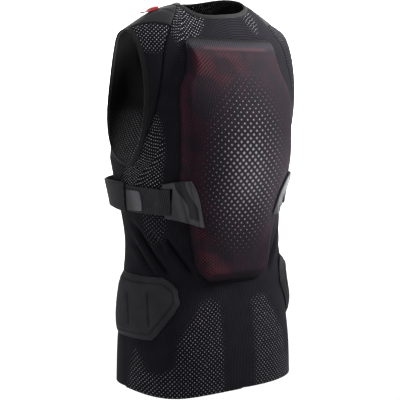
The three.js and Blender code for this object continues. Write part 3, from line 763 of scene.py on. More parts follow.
def shoulder_marks(s, across, outer):
    hand = int(np.sign(across.mean()))
    size = cloth_uv(outer) / MM
    from_seam = np.minimum(np.abs(size[..., 0] - size[:, :1, 0]), size[-1:, :, 1] - size[..., 1])
    seam = bell(from_seam / SEAM_LINE)
    return {
        "open_mesh": SHOULDER_OPEN[hand] * smooth(outer[..., 2], *SHOULDER_OPEN_Z) * (1 - seam),
        "level_rib": SHOULDER_RIBS[hand],
        "seam": seam,
    }


for hand, side in SIDES:
    shape = f"shoulder_cloth_{side}", shoulder_place, 60, 22, SHOULDER_MM
    piece, face = cloth_panel(*shape, polyester_rib_knit, shoulder_marks, hand)
    dress(piece, "knit", f"shoulder_panel_{side}")
    declare_sheet(face)

# %% [markdown]
# ### Brushed jersey
# The yokes over the shoulders are a closer, smoother jersey with a brushed face, a little lighter than
# the ribs. It shows no dots, only a very fine grain.

# %% Yokes
JERSEY = {"deep": "#141317", "crest": "#29272e", "grain": 1.6, "strip": "#0b0a0d"}
JERSEY_NAP = {"Scale": 420.0, "Detail": 4.0}
JERSEY_RELIEF = (0.4, 0.3)
JERSEY_FACE = {"Roughness": 0.78, "Specular IOR Level": 0.2}
JERSEY_FACE |= {"Sheen Weight": 0.08, "Sheen Roughness": 0.45}


def jersey(name):
    material, tree, place, strip, sewn = new_material(name, "front_strip", "seam")
    scale = WAVE_TURN / (JERSEY["grain"] * MM)
    rows = add(tree, "TexWave", {"Vector": place, "Scale": scale, "Distortion": 1.5})
    nap = add(tree, "TexNoise", {"Vector": place} | JERSEY_NAP)
    shade = add(tree, "Math", {0: rows, 1: nap}, operation="MULTIPLY")
    colour = JERSEY["deep"]
    for factor, over in ((shade, JERSEY["crest"]), (strip, JERSEY["strip"]), (sewn, KNIT["seam"])):
        colour = add(tree, "Mix", {"Factor": factor, "A": colour, "B": over}, data_type="RGBA")
    return coat(material, colour, shade, JERSEY_RELIEF, JERSEY_FACE)


brushed_jersey = jersey("brushed_jersey")
YOKE_TIP = 0.03
YOKE_MM = (80, 45)


def yoke_place(up, across):
    share = lerp(YOKE_TIP, 1, across)
    along_seam = np.minimum(1, share / YOKE["corner"])
    along_back = np.maximum(0, (share - YOKE["corner"]) / (1 - YOKE["corner"]))
    beside_seam = share < YOKE["corner"]
    seam_level = lerp(RIDGE, YOKE["backLevel"], along_seam)
    edge_level = lerp(YOKE["backLevel"], YOKE["backEdgeLevel"], along_back)
    edge_x = lerp(yoke_corner_x, yoke_edge_x, along_back)
    back_s = np.where(beside_seam, seam_level, edge_level)
    back_x = np.where(beside_seam, shoulder_seam_x(back_s), edge_x)
    front_s = LAST - lerp(RIDGE, YOKE["frontEdgeLevel"], share)
    back_a = across_at(back_s, back_x) - SEAM
    front_a = lerp(neck_share, 1, share) - SEAM
    a = np.minimum(lerp(back_a, front_a, up), 1)
    return lerp(back_s, front_s, up), a


# A second seam lies just behind the shoulder line.
TOP_SEAM = {"s": 10.72, "x": 83, "slope": 0.0317, "levelMm": 60, "shade": 0.8, "strip": 0.7, "soft": 2}


def yoke_marks(s, across, outer):
    """Seams along the back edge and across the top; the strip in front of the second one is darker."""
    from_back = cloth_uv(outer)[..., 1] / MM
    top = TOP_SEAM["s"] + (np.abs(outer[..., 0]) - TOP_SEAM["x"]) * TOP_SEAM["slope"]
    beyond = (s - top) * TOP_SEAM["levelMm"]
    seam = np.maximum(bell(from_back / SEAM_LINE), TOP_SEAM["shade"] * bell(beyond / SEAM_LINE))
    return {"seam": seam, "front_strip": TOP_SEAM["strip"] * smooth(beyond, 0, TOP_SEAM["soft"])}


for hand, side in SIDES:
    shape = f"yoke_cloth_{side}", yoke_place, 60, 60, YOKE_MM
    piece, face = cloth_panel(*shape, brushed_jersey, yoke_marks, hand)
    dress(piece, "smooth_knit", f"yoke_{side}")
    declare_sheet(face)

# %% [markdown]
# ## Elastic bindings
# The neck and the armholes are bound with folded elastic tape. A swept curve would do, but it would
# lose the flat fold, so the binding is a lattice along the edge with a thick rolled side.

# %% Binding material
BINDING = {"deep": "#08080a", "crest": "#17161a", "rib_mm": 1.8}
PICKS = 0.8  # crosswise threads come this often for each rib
TAPE_WEAR = {"Scale": 90.0, "Detail": 3.0}
TAPE_RELIEF = (0.5, 0.4)
TAPE_FACE = {"Roughness": 0.75, "Sheen Weight": 0.06, "Specular IOR Level": 0.2}


def elastic_tape(name, deep, crest, rib_mm, picks=1.0):
    """Woven tape; picks says how clearly the crosswise threads show."""
    material, tree, place = new_material(name)
    scale = WAVE_TURN / (rib_mm * MM)
    ribs = add(tree, "TexWave", {"Vector": place, "Scale": scale}, bands_direction="X")
    crosswise = add(tree, "TexWave", {"Vector": place, "Scale": scale * PICKS}, bands_direction="Y")
    crosswise = add(tree, "MapRange", {"Value": crosswise, "To Min": 1 - picks})
    weave = add(tree, "Math", {0: ribs, 1: crosswise}, operation="MULTIPLY")
    worn = add(tree, "TexNoise", {"Vector": place} | TAPE_WEAR)
    shade = add(tree, "Math", {0: weave, 1: worn}, operation="MULTIPLY")
    colour = add(tree, "Mix", {"Factor": shade, "A": deep, "B": crest}, data_type="RGBA")
    return coat(material, colour, weave, TAPE_RELIEF, TAPE_FACE)


folded_elastic = elastic_tape("folded_elastic", **BINDING)
print("binding ribs every", BINDING["rib_mm"], "mm")

# %% Bindings round the neck and the armholes
BAND = {"width": 8.0, "wall": 3.2, "lip": 1.5, "crease": 0.5, "creaseAt": 2.2, "creaseWidth": 0.9}


def binding(name, s, across):
    """A tape along a closed edge of the cloth, standing off it into the opening."""
    point, normal = body_point(s, across), normal_at(s, across)
    along = np.roll(point, -1, 0) - np.roll(point, 1, 0)
    outward = np.cross(along, normal)
    outward /= np.linalg.norm(outward, axis=-1, keepdims=True)
    reach = steps(9, BAND["width"], BAND["lip"]) * BAND["width"]
    half = BAND["wall"] / 2 * lip_share(np.minimum(reach, BAND["width"] - reach), BAND["lip"])
    crease = BAND["crease"] * bell((reach - BAND["creaseAt"]) / BAND["creaseWidth"])
    middle = point[None] + outward[None] * reach[:, None, None]
    outer = middle + normal[None] * (CLOTH / 2 + half - crease)[:, None, None]
    inner = middle + normal[None] * (CLOTH / 2 - half)[:, None, None]
    return make_piece(name, outer, inner, folded_elastic, wrap=True), outer


def half_ring(count, level):
    share = np.linspace(-1, 1, count, endpoint=False)
    return share, level(share)


share, level = half_ring(90, back_neck_level)
front_share, front_level = half_ring(90, front_neck_level)
neck_s = np.concatenate([level, LAST - front_level])
neck_across = np.concatenate([share * back_reach(level), -front_share * neck_share])
piece, face = binding("neck_binding", neck_s, neck_across)
dress(piece, "rib", "neck_band")
declare_sheet(face)

for hand, side in SIDES:
    turn = np.linspace(0, 1, 220, endpoint=False)
    armhole_s = lerp(LAST - ARMPIT, ARMPIT, turn) if hand > 0 else lerp(ARMPIT, LAST - ARMPIT, turn)
    piece, face = binding(f"armhole_binding_{side}", armhole_s, np.full_like(turn, hand))
    dress(piece, "rib", f"armhole_band_{side}")
    declare_sheet(face)

# %% [markdown]
# ## The back protector
# A thick pad of red foam sits in a pocket of black open mesh. Where the mesh is stretched over the
# edge of the pad, the red shows through its holes. The pocket is narrow at the neck, wide over the
# shoulder blades and narrow again above the waist, and its edge is sewn flat to the back.

# %% Pocket shape
POCKET = {"topZ": -52, "bottomZ": -447, "topCorner": 14, "bottomCorner": 34, "wall": 1.6, "tilt": 0.09}
FOAM = {"thickness": 11, "ramp": 16, "rampStart": 2, "inset": 9, "topInset": 20, "clearance": 0.8}
POCKET_ROWS = table(
    ["z", "halfWidth"],
    [
        [-52, 85], [-80, 88], [-105, 92], [-130, 104], [-155, 107], [-200, 107], [-270, 107],
        [-300, 100], [-345, 86], [-400, 76], [-455, 70],
    ],
)
PAD_SEAT = CLOTH + 1.8  # the pad lies on the cloth and its seam
TOP_STRETCH = FOAM["topInset"] / FOAM["inset"]
PAD_STEPS = np.array([0, 0.4, 1.1, 2.2, 3.6, 5.2, 7, 9, 11.2, 13.6, 16])


def corner_cut(corner, depth):
    return corner - np.sqrt(corner**2 - (corner - np.clip(depth, 0, corner)) ** 2)


def pocket_half_width(z):
    width = np.interp(-z, -POCKET_ROWS["z"], POCKET_ROWS["halfWidth"])
    width = width - corner_cut(POCKET["topCorner"], POCKET["topZ"] - z)
    return width - corner_cut(POCKET["bottomCorner"], z - POCKET["bottomZ"])


def edge_in_z(z):
    return np.minimum((POCKET["topZ"] - z) / TOP_STRETCH, z - POCKET["bottomZ"])


def pocket_tilt(z):
    """The pocket's top is lower on the right, its bottom is level."""
    return POCKET["tilt"] * (z - POCKET["bottomZ"]) / (POCKET["topZ"] - POCKET["bottomZ"])


def pad_height(edge):
    return FOAM["thickness"] * smooth(edge, FOAM["rampStart"], FOAM["ramp"])


print("pocket width over the shoulder blades, mm:", 2 * POCKET_ROWS["halfWidth"].max())

# %% Points of the pocket and the pad


def pad_steps(length, first_stretch, even):
    first, last = PAD_STEPS * first_stretch, length - PAD_STEPS[::-1]
    return np.concatenate([first, np.linspace(first[-1], last[0], even + 1)[1:-1], last])


def pad_lattice(trim):
    """Level, share across, height and distance from the edge, for every point of the pad."""
    down = pad_steps(POCKET["topZ"] - POCKET["bottomZ"], TOP_STRETCH, 90)
    down = down[trim : len(down) - trim]
    z = POCKET["topZ"] - down
    half = pocket_half_width(z)
    inward = np.stack([pad_steps(2 * width, 1, 70) for width in half])
    inward = inward[:, trim : inward.shape[1] - trim]
    edge = np.minimum(np.minimum(inward, 2 * half[:, None] - inward), edge_in_z(z)[:, None])
    x = inward - half[:, None]
    z = z[:, None] + 0 * x
    level = back_level(x, z + pocket_tilt(z) * x)
    return level, across_at(level, x), x, z, edge


level, across, pad_x, pad_z, pad_edge = pad_lattice(0)
print("points on the pocket:", pad_x.size)

# %% [markdown]
# ### Open mesh over red foam
# The pocket is a warp-knitted mesh. Its yarn is black, so from afar it looks dark purple-grey where
# the red foam lies under it, and red dots gather in patches along the pad's edge, where the holes are
# stretched.
# A field of small silver lozenges is printed on the middle; they shrink towards the edge of the field.

# %% Mesh material
MESH = {"yarn": "#0a080d", "crest": "#1b151f", "red": "#5c1e29", "print": "#807e86"}
MESH |= {"strip": "#0f0e12", "stripRib": "#302e35", "seam": "#020103", "line": "#5a343b"}
MESH_MM = {"hole": 4.0, "holeRadius": 1.1, "wale": 2.6, "lozenge": 8.5, "stripRib": 3.6, "patch": 34}
MESH_HOLE = {"outside": 1.5, "inside": 0.6, "sunk": -1.0}
# The mesh lies close to the foam in some patches and not in others.
PATCH = {"From Min": 0.4, "From Max": 0.56, "To Min": 0.25, "To Max": 1.15}
PRINT_EDGE = {"From Min": -0.02, "From Max": 0.05}
MESH_RELIEF = (0.35, 0.5)
MESH_FACE = {"Roughness": 0.75, "Sheen Weight": 0.02, "Specular IOR Level": 0.1}


def pocket_mesh(name):
    marks = "foam_shows", "print_size", "top_strip", "foam_line", "seam"
    material, tree, place, foam, print_size, strip, line, sewn = new_material(name, *marks)
    turned = add(tree, "Mapping", {"Vector": place, "Rotation": DIAGONAL})
    cells = {"Vector": turned, "Scale": 1 / (MESH_MM["hole"] * MM), "Randomness": 0.0}
    centre = add(tree, "TexVoronoi", cells, voronoi_dimensions="2D")
    radius = MESH_MM["holeRadius"] / MESH_MM["hole"]
    bounds = {"From Min": radius * MESH_HOLE["outside"], "From Max": radius * MESH_HOLE["inside"]}
    hole = add(tree, "MapRange", {"Value": centre} | bounds)
    patches = {"Vector": place, "Scale": 1 / (MESH_MM["patch"] * MM), "Detail": 1.0}
    patches = add(tree, "MapRange", {"Value": add(tree, "TexNoise", patches)} | PATCH)
    foam = add(tree, "Math", {0: patches, 1: foam}, operation="MULTIPLY")
    red = add(tree, "Math", {0: hole, 1: foam}, operation="MULTIPLY")
    cells["Scale"] = 1 / (MESH_MM["lozenge"] * MM)
    lozenge = add(tree, "TexVoronoi", cells, voronoi_dimensions="2D", distance="CHEBYCHEV")
    within = add(tree, "Math", {0: print_size, 1: lozenge}, operation="SUBTRACT")
    printed = add(tree, "MapRange", {"Value": within} | PRINT_EDGE)
    waves, shades = [], []
    for key, low, high in (("wale", "yarn", "crest"), ("stripRib", "strip", "stripRib")):
        ribs = {"Vector": place, "Scale": WAVE_TURN / (MESH_MM[key] * MM)}
        waves.append(add(tree, "TexWave", ribs, bands_direction="X"))
        ribs = {"Factor": waves[-1], "A": MESH[low], "B": MESH[high]}
        shades.append(add(tree, "Mix", ribs, data_type="RGBA"))
    colour, ribbed = shades
    over_foam = (strip, ribbed), (red, MESH["red"]), (line, MESH["line"])
    for factor, over in (*over_foam, (printed, MESH["print"]), (sewn, MESH["seam"])):
        colour = add(tree, "Mix", {"Factor": factor, "A": colour, "B": over}, data_type="RGBA")
    height = add(tree, "Math", {0: hole, 1: MESH_HOLE["sunk"], 2: waves[0]}, operation="MULTIPLY_ADD")
    return coat(material, colour, height, MESH_RELIEF, MESH_FACE)


warp_knit_mesh = pocket_mesh("warp_knit_mesh")
print("mesh holes every", MESH_MM["hole"], "mm, lozenges every", MESH_MM["lozenge"], "mm")

# %% [markdown]
# A sewn pocket swells over its pad. Blender's cloth solver finds how: the mesh is pinned where it is
# sewn, a little pressure pushes it out for twenty frames, and gravity is off, because the back holds
# the pad up. The movement is capped, so the cover stays in the space of its solid, and it is added to
# the lattice, so no solver is left on the piece.

# %% Swelling of the pocket
SWELL = {"pressure": 0.4, "frames": 20, "least": -0.5, "most": 1.6, "pinned": 3.0}


def swelling(face, normal, edge):
    """How far each point of the cover moves out under pressure from inside, in mm."""
    rows, columns = edge.shape
    index = np.arange(rows * columns).reshape(rows, columns)
    corners = [index[:-1, :-1], index[:-1, 1:], index[1:, 1:], index[1:, :-1]]
    mesh = bpy.data.meshes.new("trial_cover")
    quads = np.stack(corners, -1).reshape(-1, 4)
    mesh.from_pydata((face.reshape(-1, 3) * MM).tolist(), [], quads.tolist())
    trial = bpy.data.objects.new("trial_cover", mesh)
    scene = bpy.context.scene
    scene.collection.objects.link(trial)
    pinned = np.nonzero(edge.ravel() <= SWELL["pinned"])[0]
    trial.vertex_groups.new(name="sewn").add(pinned.tolist(), 1.0, "REPLACE")
    cloth = trial.modifiers.new("cloth", "CLOTH").settings
    cloth.vertex_group_mass = "sewn"
    cloth.use_pressure, cloth.uniform_pressure_force = True, SWELL["pressure"]
    cloth.effector_weights.gravity = 0
    for number in range(1, SWELL["frames"] + 1):
        scene.frame_set(number)
    moved = np.empty(face.size)
    settled = trial.evaluated_get(bpy.context.evaluated_depsgraph_get())
    settled.data.vertices.foreach_get("co", moved)
    scene.frame_set(1)
    bpy.data.objects.remove(trial)
    bpy.data.meshes.remove(mesh)
    push = ((moved.reshape(face.shape) / MM - face) * normal).sum(-1)
    print("the cover would move, mm:", np.percentile(push, [0, 5, 25, 50, 75, 95, 100]).round(2))
    return np.clip(push, SWELL["least"], SWELL["most"])


# %% Pocket
FOAM_TOP = {"z": 67.0, "width": 1.8, "x": (-66, -52), "shade": 0.42}
# How much of the foam shows: everywhere, along the sides, at both ends, and on a line in between.
FOAM_SHOWS = {"everywhere": 0.1, "start": (5, 14), "stop": (22, 46), "side": 0.25, "ends": 0.75}
FOAM_SHOWS |= {"top": (-150, -100), "bottom": (320, 380), "line": 0.6, "lineAt": 6, "lineWidth": 2.5}
FOAM_RIGHT = {"share": 0.2, "x": (-30, 50)}  # on the right the mesh hides most of the foam
TOP_STRIP = {"z": (-70, -66), "foam": (66, 72)}  # a ribbed strip along the top, with no foam under it
PRINT = {"midZ": -255, "halfHeight": 165, "halfWidth": 88, "largest": 0.26, "fade": 1.25, "least": -0.5}
STITCH = {"inset": 3.4, "width": 0.9, "depth": 0.7, "dark": (0.8, 2.6)}

ends = np.maximum(smooth(pad_z, *FOAM_SHOWS["top"]), smooth(-pad_z, *FOAM_SHOWS["bottom"]))
foam_rim = smooth(pad_edge, *FOAM_SHOWS["start"]) * (1 - smooth(pad_edge, *FOAM_SHOWS["stop"]))
foam_rim = foam_rim * lerp(FOAM_SHOWS["side"], FOAM_SHOWS["ends"], ends)
foam_line = bell((pad_edge - FOAM_SHOWS["lineAt"]) / FOAM_SHOWS["lineWidth"])
foam_rim = foam_rim + FOAM_SHOWS["line"] * foam_line * (1 - ends)
foam_rim = foam_rim * lerp(FOAM_RIGHT["share"], 1, smooth(pad_x, *FOAM_RIGHT["x"]))
foam_top = bell((pad_z + FOAM_TOP["z"]) / FOAM_TOP["width"]) * smooth(-np.abs(pad_x), *FOAM_TOP["x"])
fade = np.hypot(pad_x / PRINT["halfWidth"], (pad_z - PRINT["midZ"]) / PRINT["halfHeight"])
pad_marks = {
    "print_size": PRINT["largest"] * np.clip(PRINT["fade"] * (1 - fade), PRINT["least"], 1),
    "foam_shows": (FOAM_SHOWS["everywhere"] + foam_rim) * smooth(-pad_z, *TOP_STRIP["foam"]),
    "top_strip": smooth(pad_z, *TOP_STRIP["z"]),
    "foam_line": FOAM_TOP["shade"] * foam_top,
    "seam": 1 - smooth(pad_edge, *STITCH["dark"]),
}
height = pad_height(pad_edge)
sewn = STITCH["depth"] * bell((pad_edge - STITCH["inset"]) / STITCH["width"])
wall = POCKET["wall"] * lip_share(pad_edge)
taut = firm(level, across, PAD_SEAT + height)
height = height - sewn + swelling(taut, normal_at(level, across), pad_edge)
outer = firm(level, across, PAD_SEAT + height + wall)
inner = firm(level, across, PAD_SEAT + height)
pocket = make_piece("pocket_mesh_cover", outer, inner, warp_knit_mesh, pad_marks)
dress(pocket, "mesh_cover", "back_pocket")

# %% Foam pad
FOAM_LOOK = {"deep": "#6b151b", "crest": "#9c2830", "cell": 1.5}
FOAM_RELIEF = (0.5, 0.5)
FOAM_FACE = {"Roughness": 0.9}


def open_cell_foam(name):
    material, tree, place = new_material(name)
    pores = add(tree, "TexVoronoi", {"Vector": place, "Scale": 1 / (FOAM_LOOK["cell"] * MM)})
    colour = {"Factor": pores, "A": FOAM_LOOK["deep"], "B": FOAM_LOOK["crest"]}
    colour = add(tree, "Mix", colour, data_type="RGBA")
    return coat(material, colour, pores, FOAM_RELIEF, FOAM_FACE)


red_foam = open_cell_foam("open_cell_foam")
TRIM = int(np.argmin(np.abs(PAD_STEPS - FOAM["inset"])))
foam_level, foam_across, _, _, foam_edge = pad_lattice(TRIM)
outer = firm(foam_level, foam_across, PAD_SEAT + pad_height(foam_edge) - FOAM["clearance"])
inner = firm(foam_level, foam_across, PAD_SEAT + 0 * foam_edge)
foam = make_piece("foam_pad", outer, inner, red_foam)
dress(foam, "red_foam", "back_foam")

# %% [markdown]
# ## Strap anchors
# Each anchor is moulded from grey thermoplastic rubber over the edge of the pad. It has a slot for
# the strap and a smooth channel that sweeps across it. The lattice has an open column for the slot.

# %% Moulded rubber
RUBBER = {"deep": "#232227", "crest": "#37363b"}
# The dark channel colour also paints shade on the left anchor's inner edge and along the pull tab.
RUBBER_CHANNEL_AND_SHADE = {"colour": "#09090b", "To Min": 0.42, "To Max": 0.55}
RUBBER_GRIT = 0.9
RUBBER_WEAR = {"Scale": 60.0, "Detail": 3.0}
RUBBER_RELIEF = (0.25, 0.2)


def moulded_rubber(name, deep, crest):
    material, tree, place, dark = new_material(name, "channel")
    grit = add(tree, "TexNoise", {"Vector": place, "Scale": 1 / (RUBBER_GRIT * MM), "Detail": 2.0})
    worn = add(tree, "TexNoise", {"Vector": place} | RUBBER_WEAR)
    colour = deep
    # the channel mark darkens the channel and also paints shade on the anchor's edge and along the tab
    for factor, over in ((worn, crest), (dark, RUBBER_CHANNEL_AND_SHADE["colour"])):
        colour = add(tree, "Mix", {"Factor": factor, "A": colour, "B": over}, data_type="RGBA")
    gloss = {"Value": dark, "To Min": RUBBER_CHANNEL_AND_SHADE["To Min"], "To Max": RUBBER_CHANNEL_AND_SHADE["To Max"]}
    surface = {"Roughness": add(tree, "MapRange", gloss), "Specular IOR Level": 0.3}
    return coat(material, colour, grit, RUBBER_RELIEF, surface)


thermoplastic_rubber = moulded_rubber("thermoplastic_rubber", **RUBBER)
print("rubber grit", RUBBER_GRIT, "mm")

# %% Anchors
ANCHOR = {"outerWall": 2.8, "innerWall": 5, "outerSeat": 1, "innerSeat": 1.6, "seatShare": 0.5}
ANCHOR |= {"slot": 4, "bevel": 9, "thin": 0.35, "lip": 1.6, "rightTip": 11, "tipFrom": 0.3}
ANCHOR |= {"painted_flank_shade": 0.4, "flankMm": 6}  # painted shade: the left one's inner edge is painted darker, as it faces away from the light
GROOVE = {"topShare": 0.36, "bottomShare": 0.72, "width": 6.6, "depth": 2.0, "flat": 0.7}
GROOVE |= {"bend": (0.12, 0.6), "end": (0.74, 0.86), "dark": (0.2, 0.8)}
ANCHOR_ROWS = table(
    ["outerZ", "innerZ", "outerX", "slotX", "innerX"],
    [
        [-279, -267, 124, 116, 91], [-287, -277, 123, 115, 84.5], [-297, -292, 121, 114, 77.5],
        [-308, -308, 119, 113, 72.5], [-319, -324, 117, 112, 69], [-329, -339, 116, 111.5, 65.5],
        [-336, -349, 115, 111, 63],
    ],
)
ANCHOR_GRID = {"rows": 60, "bar": 8, "body": 56}
ANCHOR_MM = {"rows": 70, "bar": 8, "body": 50}
SEWN_FROM = -10  # the cloth starts to rise this far from the edge of the pocket


def pocket_lift(x, z):
    """How far the outside of the pocket stands off the form."""
    z = z - pocket_tilt(z) * x
    edge = np.minimum(edge_in_z(z), pocket_half_width(z) - np.abs(x))
    sewn = PAD_SEAT + POCKET["wall"] - CLOTH
    return CLOTH + sewn * smooth(edge, SEWN_FROM, 0) + pad_height(edge)


def anchor(hand, name):
    last = len(ANCHOR_ROWS["outerX"]) - 1
    row = steps(ANCHOR_GRID["rows"], ANCHOR_MM["rows"], ANCHOR["lip"]) * last
    at = {key: through(values, row)[:, None] for key, values in ANCHOR_ROWS.items()}
    down = (row / last)[:, None]
    bar = steps(ANCHOR_GRID["bar"], ANCHOR_MM["bar"])
    body = steps(ANCHOR_GRID["body"], ANCHOR_MM["body"], ANCHOR["lip"])
    slot_x, inner_x = at["slotX"] - ANCHOR["slot"], at["innerX"]
    x = np.concatenate([lerp(at["outerX"], at["slotX"], bar), lerp(slot_x, inner_x, body)], 1)
    share = (at["outerX"] - x) / (at["outerX"] - inner_x)
    tip = ANCHOR["rightTip"] * smooth(down, ANCHOR["tipFrom"], 1) if hand < 0 else 0
    z = lerp(at["outerZ"], at["innerZ"] + tip, share)
    level = back_level(hand * x, z)
    bend = lerp(GROOVE["topShare"], GROOVE["bottomShare"], smooth(down, *GROOVE["bend"]))
    beside = np.abs(x - lerp(slot_x, inner_x, bend))
    channel = 1 - smooth(beside, GROOVE["flat"] * GROOVE["width"], GROOVE["width"])
    channel = (1 - smooth(down, *GROOVE["end"])) * channel
    painted_flank_shade = (ANCHOR["painted_flank_shade"] if hand > 0 else 0) * smooth(inner_x - x, -ANCHOR["flankMm"], 0)
    rise = lerp(ANCHOR["outerSeat"], ANCHOR["innerSeat"], smooth(share, 0, ANCHOR["seatShare"]))
    seat = pocket_lift(hand * x, z) + rise
    from_ends = np.minimum(down, 1 - down) * ANCHOR_MM["rows"]
    edge = np.minimum(np.minimum(at["outerX"] - x, x - inner_x), from_ends)
    height = lerp(ANCHOR["outerWall"], ANCHOR["innerWall"], share) - GROOVE["depth"] * channel
    bevel = lerp(ANCHOR["thin"], 1, smooth(x - inner_x, 0, ANCHOR["bevel"]))
    height = height * lip_share(edge, ANCHOR["lip"]) * bevel
    across = hand * across_at(level, x)
    outer, inner = firm(level, across, seat + height), firm(level, across, seat)
    filled = np.ones((len(row) - 1, x.shape[1] - 1), bool)
    filled[(row[:-1] > 1) & (row[1:] < last - 1), len(bar) - 1] = False
    # the channel mark holds the dark channel and the painted shade on the left anchor's inner edge
    marks = {"channel": np.maximum(smooth(channel, *GROOVE["dark"]), painted_flank_shade)}
    return make_piece(name, outer, inner, thermoplastic_rubber, marks, filled)


for hand, side in SIDES:
    dress(anchor(hand, f"anchor_moulding_{side}"), "moulded_rubber", f"strap_anchor_{side}")

# %% [markdown]
# ## The waist belt
# Elastic webbing runs from each anchor round the side. A rubber pull tab is sewn on it, and a stiff
# panel carries on to the front. Webbing is flat and keeps its width, so it is modelled directly.

# %% Webbing material
WEBBING = {"deep": "#0f0e11", "crest": "#3b3941", "rib_mm": 3.2, "picks": 0.25}
elastic_webbing = elastic_tape("elastic_webbing", **WEBBING)
STRAP = {"topZ": -286, "bottomZ": -330, "wall": 1.8, "from": 49.4, "to": 99, "length": 110}
FLAT = {"rows": 14, "height": 44, "lip": 0.8}  # rows, height and lip of every flat strip
STRAP_LIFTS = table(["turn", "lift"], [[48, 7.4], [58, 7.4], [64, 4.2], [99, 3.4]])


def strap_lift(turn):
    return np.interp(turn, STRAP_LIFTS["turn"], STRAP_LIFTS["lift"])


def flat_strip(hand, name, turn, top, bottom, lift, wall, material, marks=None):
    """A strip round the trunk: for each turn its top, bottom and lift."""
    up = steps(FLAT["rows"], FLAT["height"], FLAT["lip"])[:, None]
    z = lerp(bottom[None], top[None], up)
    edge = np.minimum(up, 1 - up) * (top - bottom)[None]
    half = wall / 2 * lip_share(edge, FLAT["lip"])
    outer, inner = (girth(hand * turn[None], z, lift[None] + wall / 2 + t) for t in (half, -half))
    return make_piece(name, outer, inner, material, marks), outer


for hand, side in SIDES:
    turn = lerp(STRAP["from"], STRAP["to"], steps(60, STRAP["length"], FLAT["lip"]))
    top, bottom = np.full_like(turn, STRAP["topZ"]), np.full_like(turn, STRAP["bottomZ"])
    shape = turn, top, bottom, strap_lift(turn), STRAP["wall"]
    piece, face = flat_strip(hand, f"webbing_strap_{side}", *shape, elastic_webbing)
    dress(piece, "webbing", f"waist_strap_{side}")
    declare_sheet(face)

# %% Pull tabs
TAB = {"topZ": -292, "bottomZ": -326, "wall": 2.0, "from": 75.5, "to": 92, "corner": 7.0}
TAB |= {"mmPerDegree": 2.4, "bottomCut": 0.4, "gap": 0.6, "shade": 0.8, "shaded": (0.15, 0.85)}
TAB_LOOK = {"deep": "#3c3b40", "crest": "#5c5a60"}
silver_rubber = moulded_rubber("silver_rubber", **TAB_LOOK)
TAB_MM = (TAB["to"] - TAB["from"]) * TAB["mmPerDegree"]

for hand, side in SIDES:
    shares = steps(40, TAB_MM, FLAT["lip"])
    turn = lerp(TAB["from"], TAB["to"], shares)
    cut = corner_cut(TAB["corner"], shares * TAB_MM)
    top, bottom = TAB["topZ"] - cut, TAB["bottomZ"] + TAB["bottomCut"] * cut
    shape = turn, top, bottom, strap_lift(turn) + STRAP["wall"] + TAB["gap"], TAB["wall"]
    # painted shade: the tab is painted darker towards its front end, as light falls across it
    marks = {"channel": TAB["shade"] * smooth(shares, *TAB["shaded"])[None]}
    piece, face = flat_strip(hand, f"pull_tab_{side}", *shape, silver_rubber, marks)
    dress(piece, "moulded_rubber", f"strap_tab_{side}")

# %% Belt fronts
BELT_LOOK = {"deep": "#08080b", "crest": "#29282f"}
belt_webbing = elastic_tape("stiff_belt_webbing", **WEBBING | BELT_LOOK)
BELT = {"wall": 3.0, "length": 170}
BELT_ROWS = table(
    ["turn", "lift", "topZ", "bottomZ"],
    [
        [93, 7.5, -281, -331], [100, 10.5, -281, -330], [110, 14, -281, -327], [120, 15.5, -282, -326],
        [132, 13, -283, -328], [146, 8, -284, -329], [160, 4.6, -285, -330], [172, 3.2, -285, -330],
    ],
)

for hand, side in SIDES:
    at = steps(70, BELT["length"], FLAT["lip"]) * (len(BELT_ROWS["turn"]) - 1)
    turn, lift, top, bottom = (through(values, at) for values in BELT_ROWS.values())
    shape = turn, top, bottom, lift, BELT["wall"]
    piece, face = flat_strip(hand, f"belt_webbing_{side}", *shape, belt_webbing)
    dress(piece, "webbing", f"belt_front_{side}")
    declare_sheet(face)

# %% [markdown]
# ## Hip pads
# Each hip pad is foam with a moulded face: a raised border, a groove along it and two upright grooves,
# so that it bends with the hip. A carved mesh would do, but here the relief is a height that comes from
# the distance to the pad's own outline and to two short lines.

# %% Hip pad material
# The groove colour is painted shade in the pad's grooves.
PAD_LOOK = {"deep": "#1d1c1f", "crest": "#313034", "groove": "#060607", "grit": 1.2}
PAD_WEAR = {"Scale": 40.0, "Detail": 3.0}
PAD_RELIEF = (0.3, 0.2)
PAD_FACE = {"Roughness": 0.7, "Specular IOR Level": 0.1}


def coated_foam(name):
    material, tree, place, sunk = new_material(name, "sunk")
    grit = {"Vector": place, "Scale": 1 / (PAD_LOOK["grit"] * MM), "Detail": 3.0}
    grit = add(tree, "TexNoise", grit)
    worn = add(tree, "TexNoise", {"Vector": place} | PAD_WEAR)
    colour = PAD_LOOK["deep"]
    # painted shade: the grooves are darkened
    for factor, over in ((worn, "crest"), (sunk, "groove")):
        colour = add(tree, "Mix", {"Factor": factor, "A": colour, "B": PAD_LOOK[over]}, data_type="RGBA")
    return coat(material, colour, grit, PAD_RELIEF, PAD_FACE)


coated_foam_face = coated_foam("coated_foam_face")
print("pad face grit", PAD_LOOK["grit"], "mm")

# %% Hip pads
HIP_PAD = {"thickness": 7, "rightThickness": 9, "edge": 1.8, "bevel": 15, "gap": 1.1}
HIP_PAD |= {"rightRaise": 12, "rightForward": 6, "tall": 105, "wide": 150, "lip": 1.4}
HIP_ROWS = table(
    ["z", "backTurn", "frontTurn"],
    [
        [-435, 56, 107], [-444, 48, 113], [-455, 43, 116], [-478, 41, 118], [-494, 46, 117],
        [-510, 52, 115], [-530, 60, 110], [-538, 64, 104],
    ],
)
HIP_RELIEF = {"border": 6.0, "borderRise": 0.9, "inset": 10.5, "groove": 1.6, "grooveWidth": 1.6}
HIP_RELIEF |= {"borderWidth": 2.5, "insetShare": 0.7, "shade": 0.7}
HIP_GROOVES = [
    # from turn, from z, to turn, to z
    [69, -462, 66, -514],
    [90, -468, 86, -514],
]


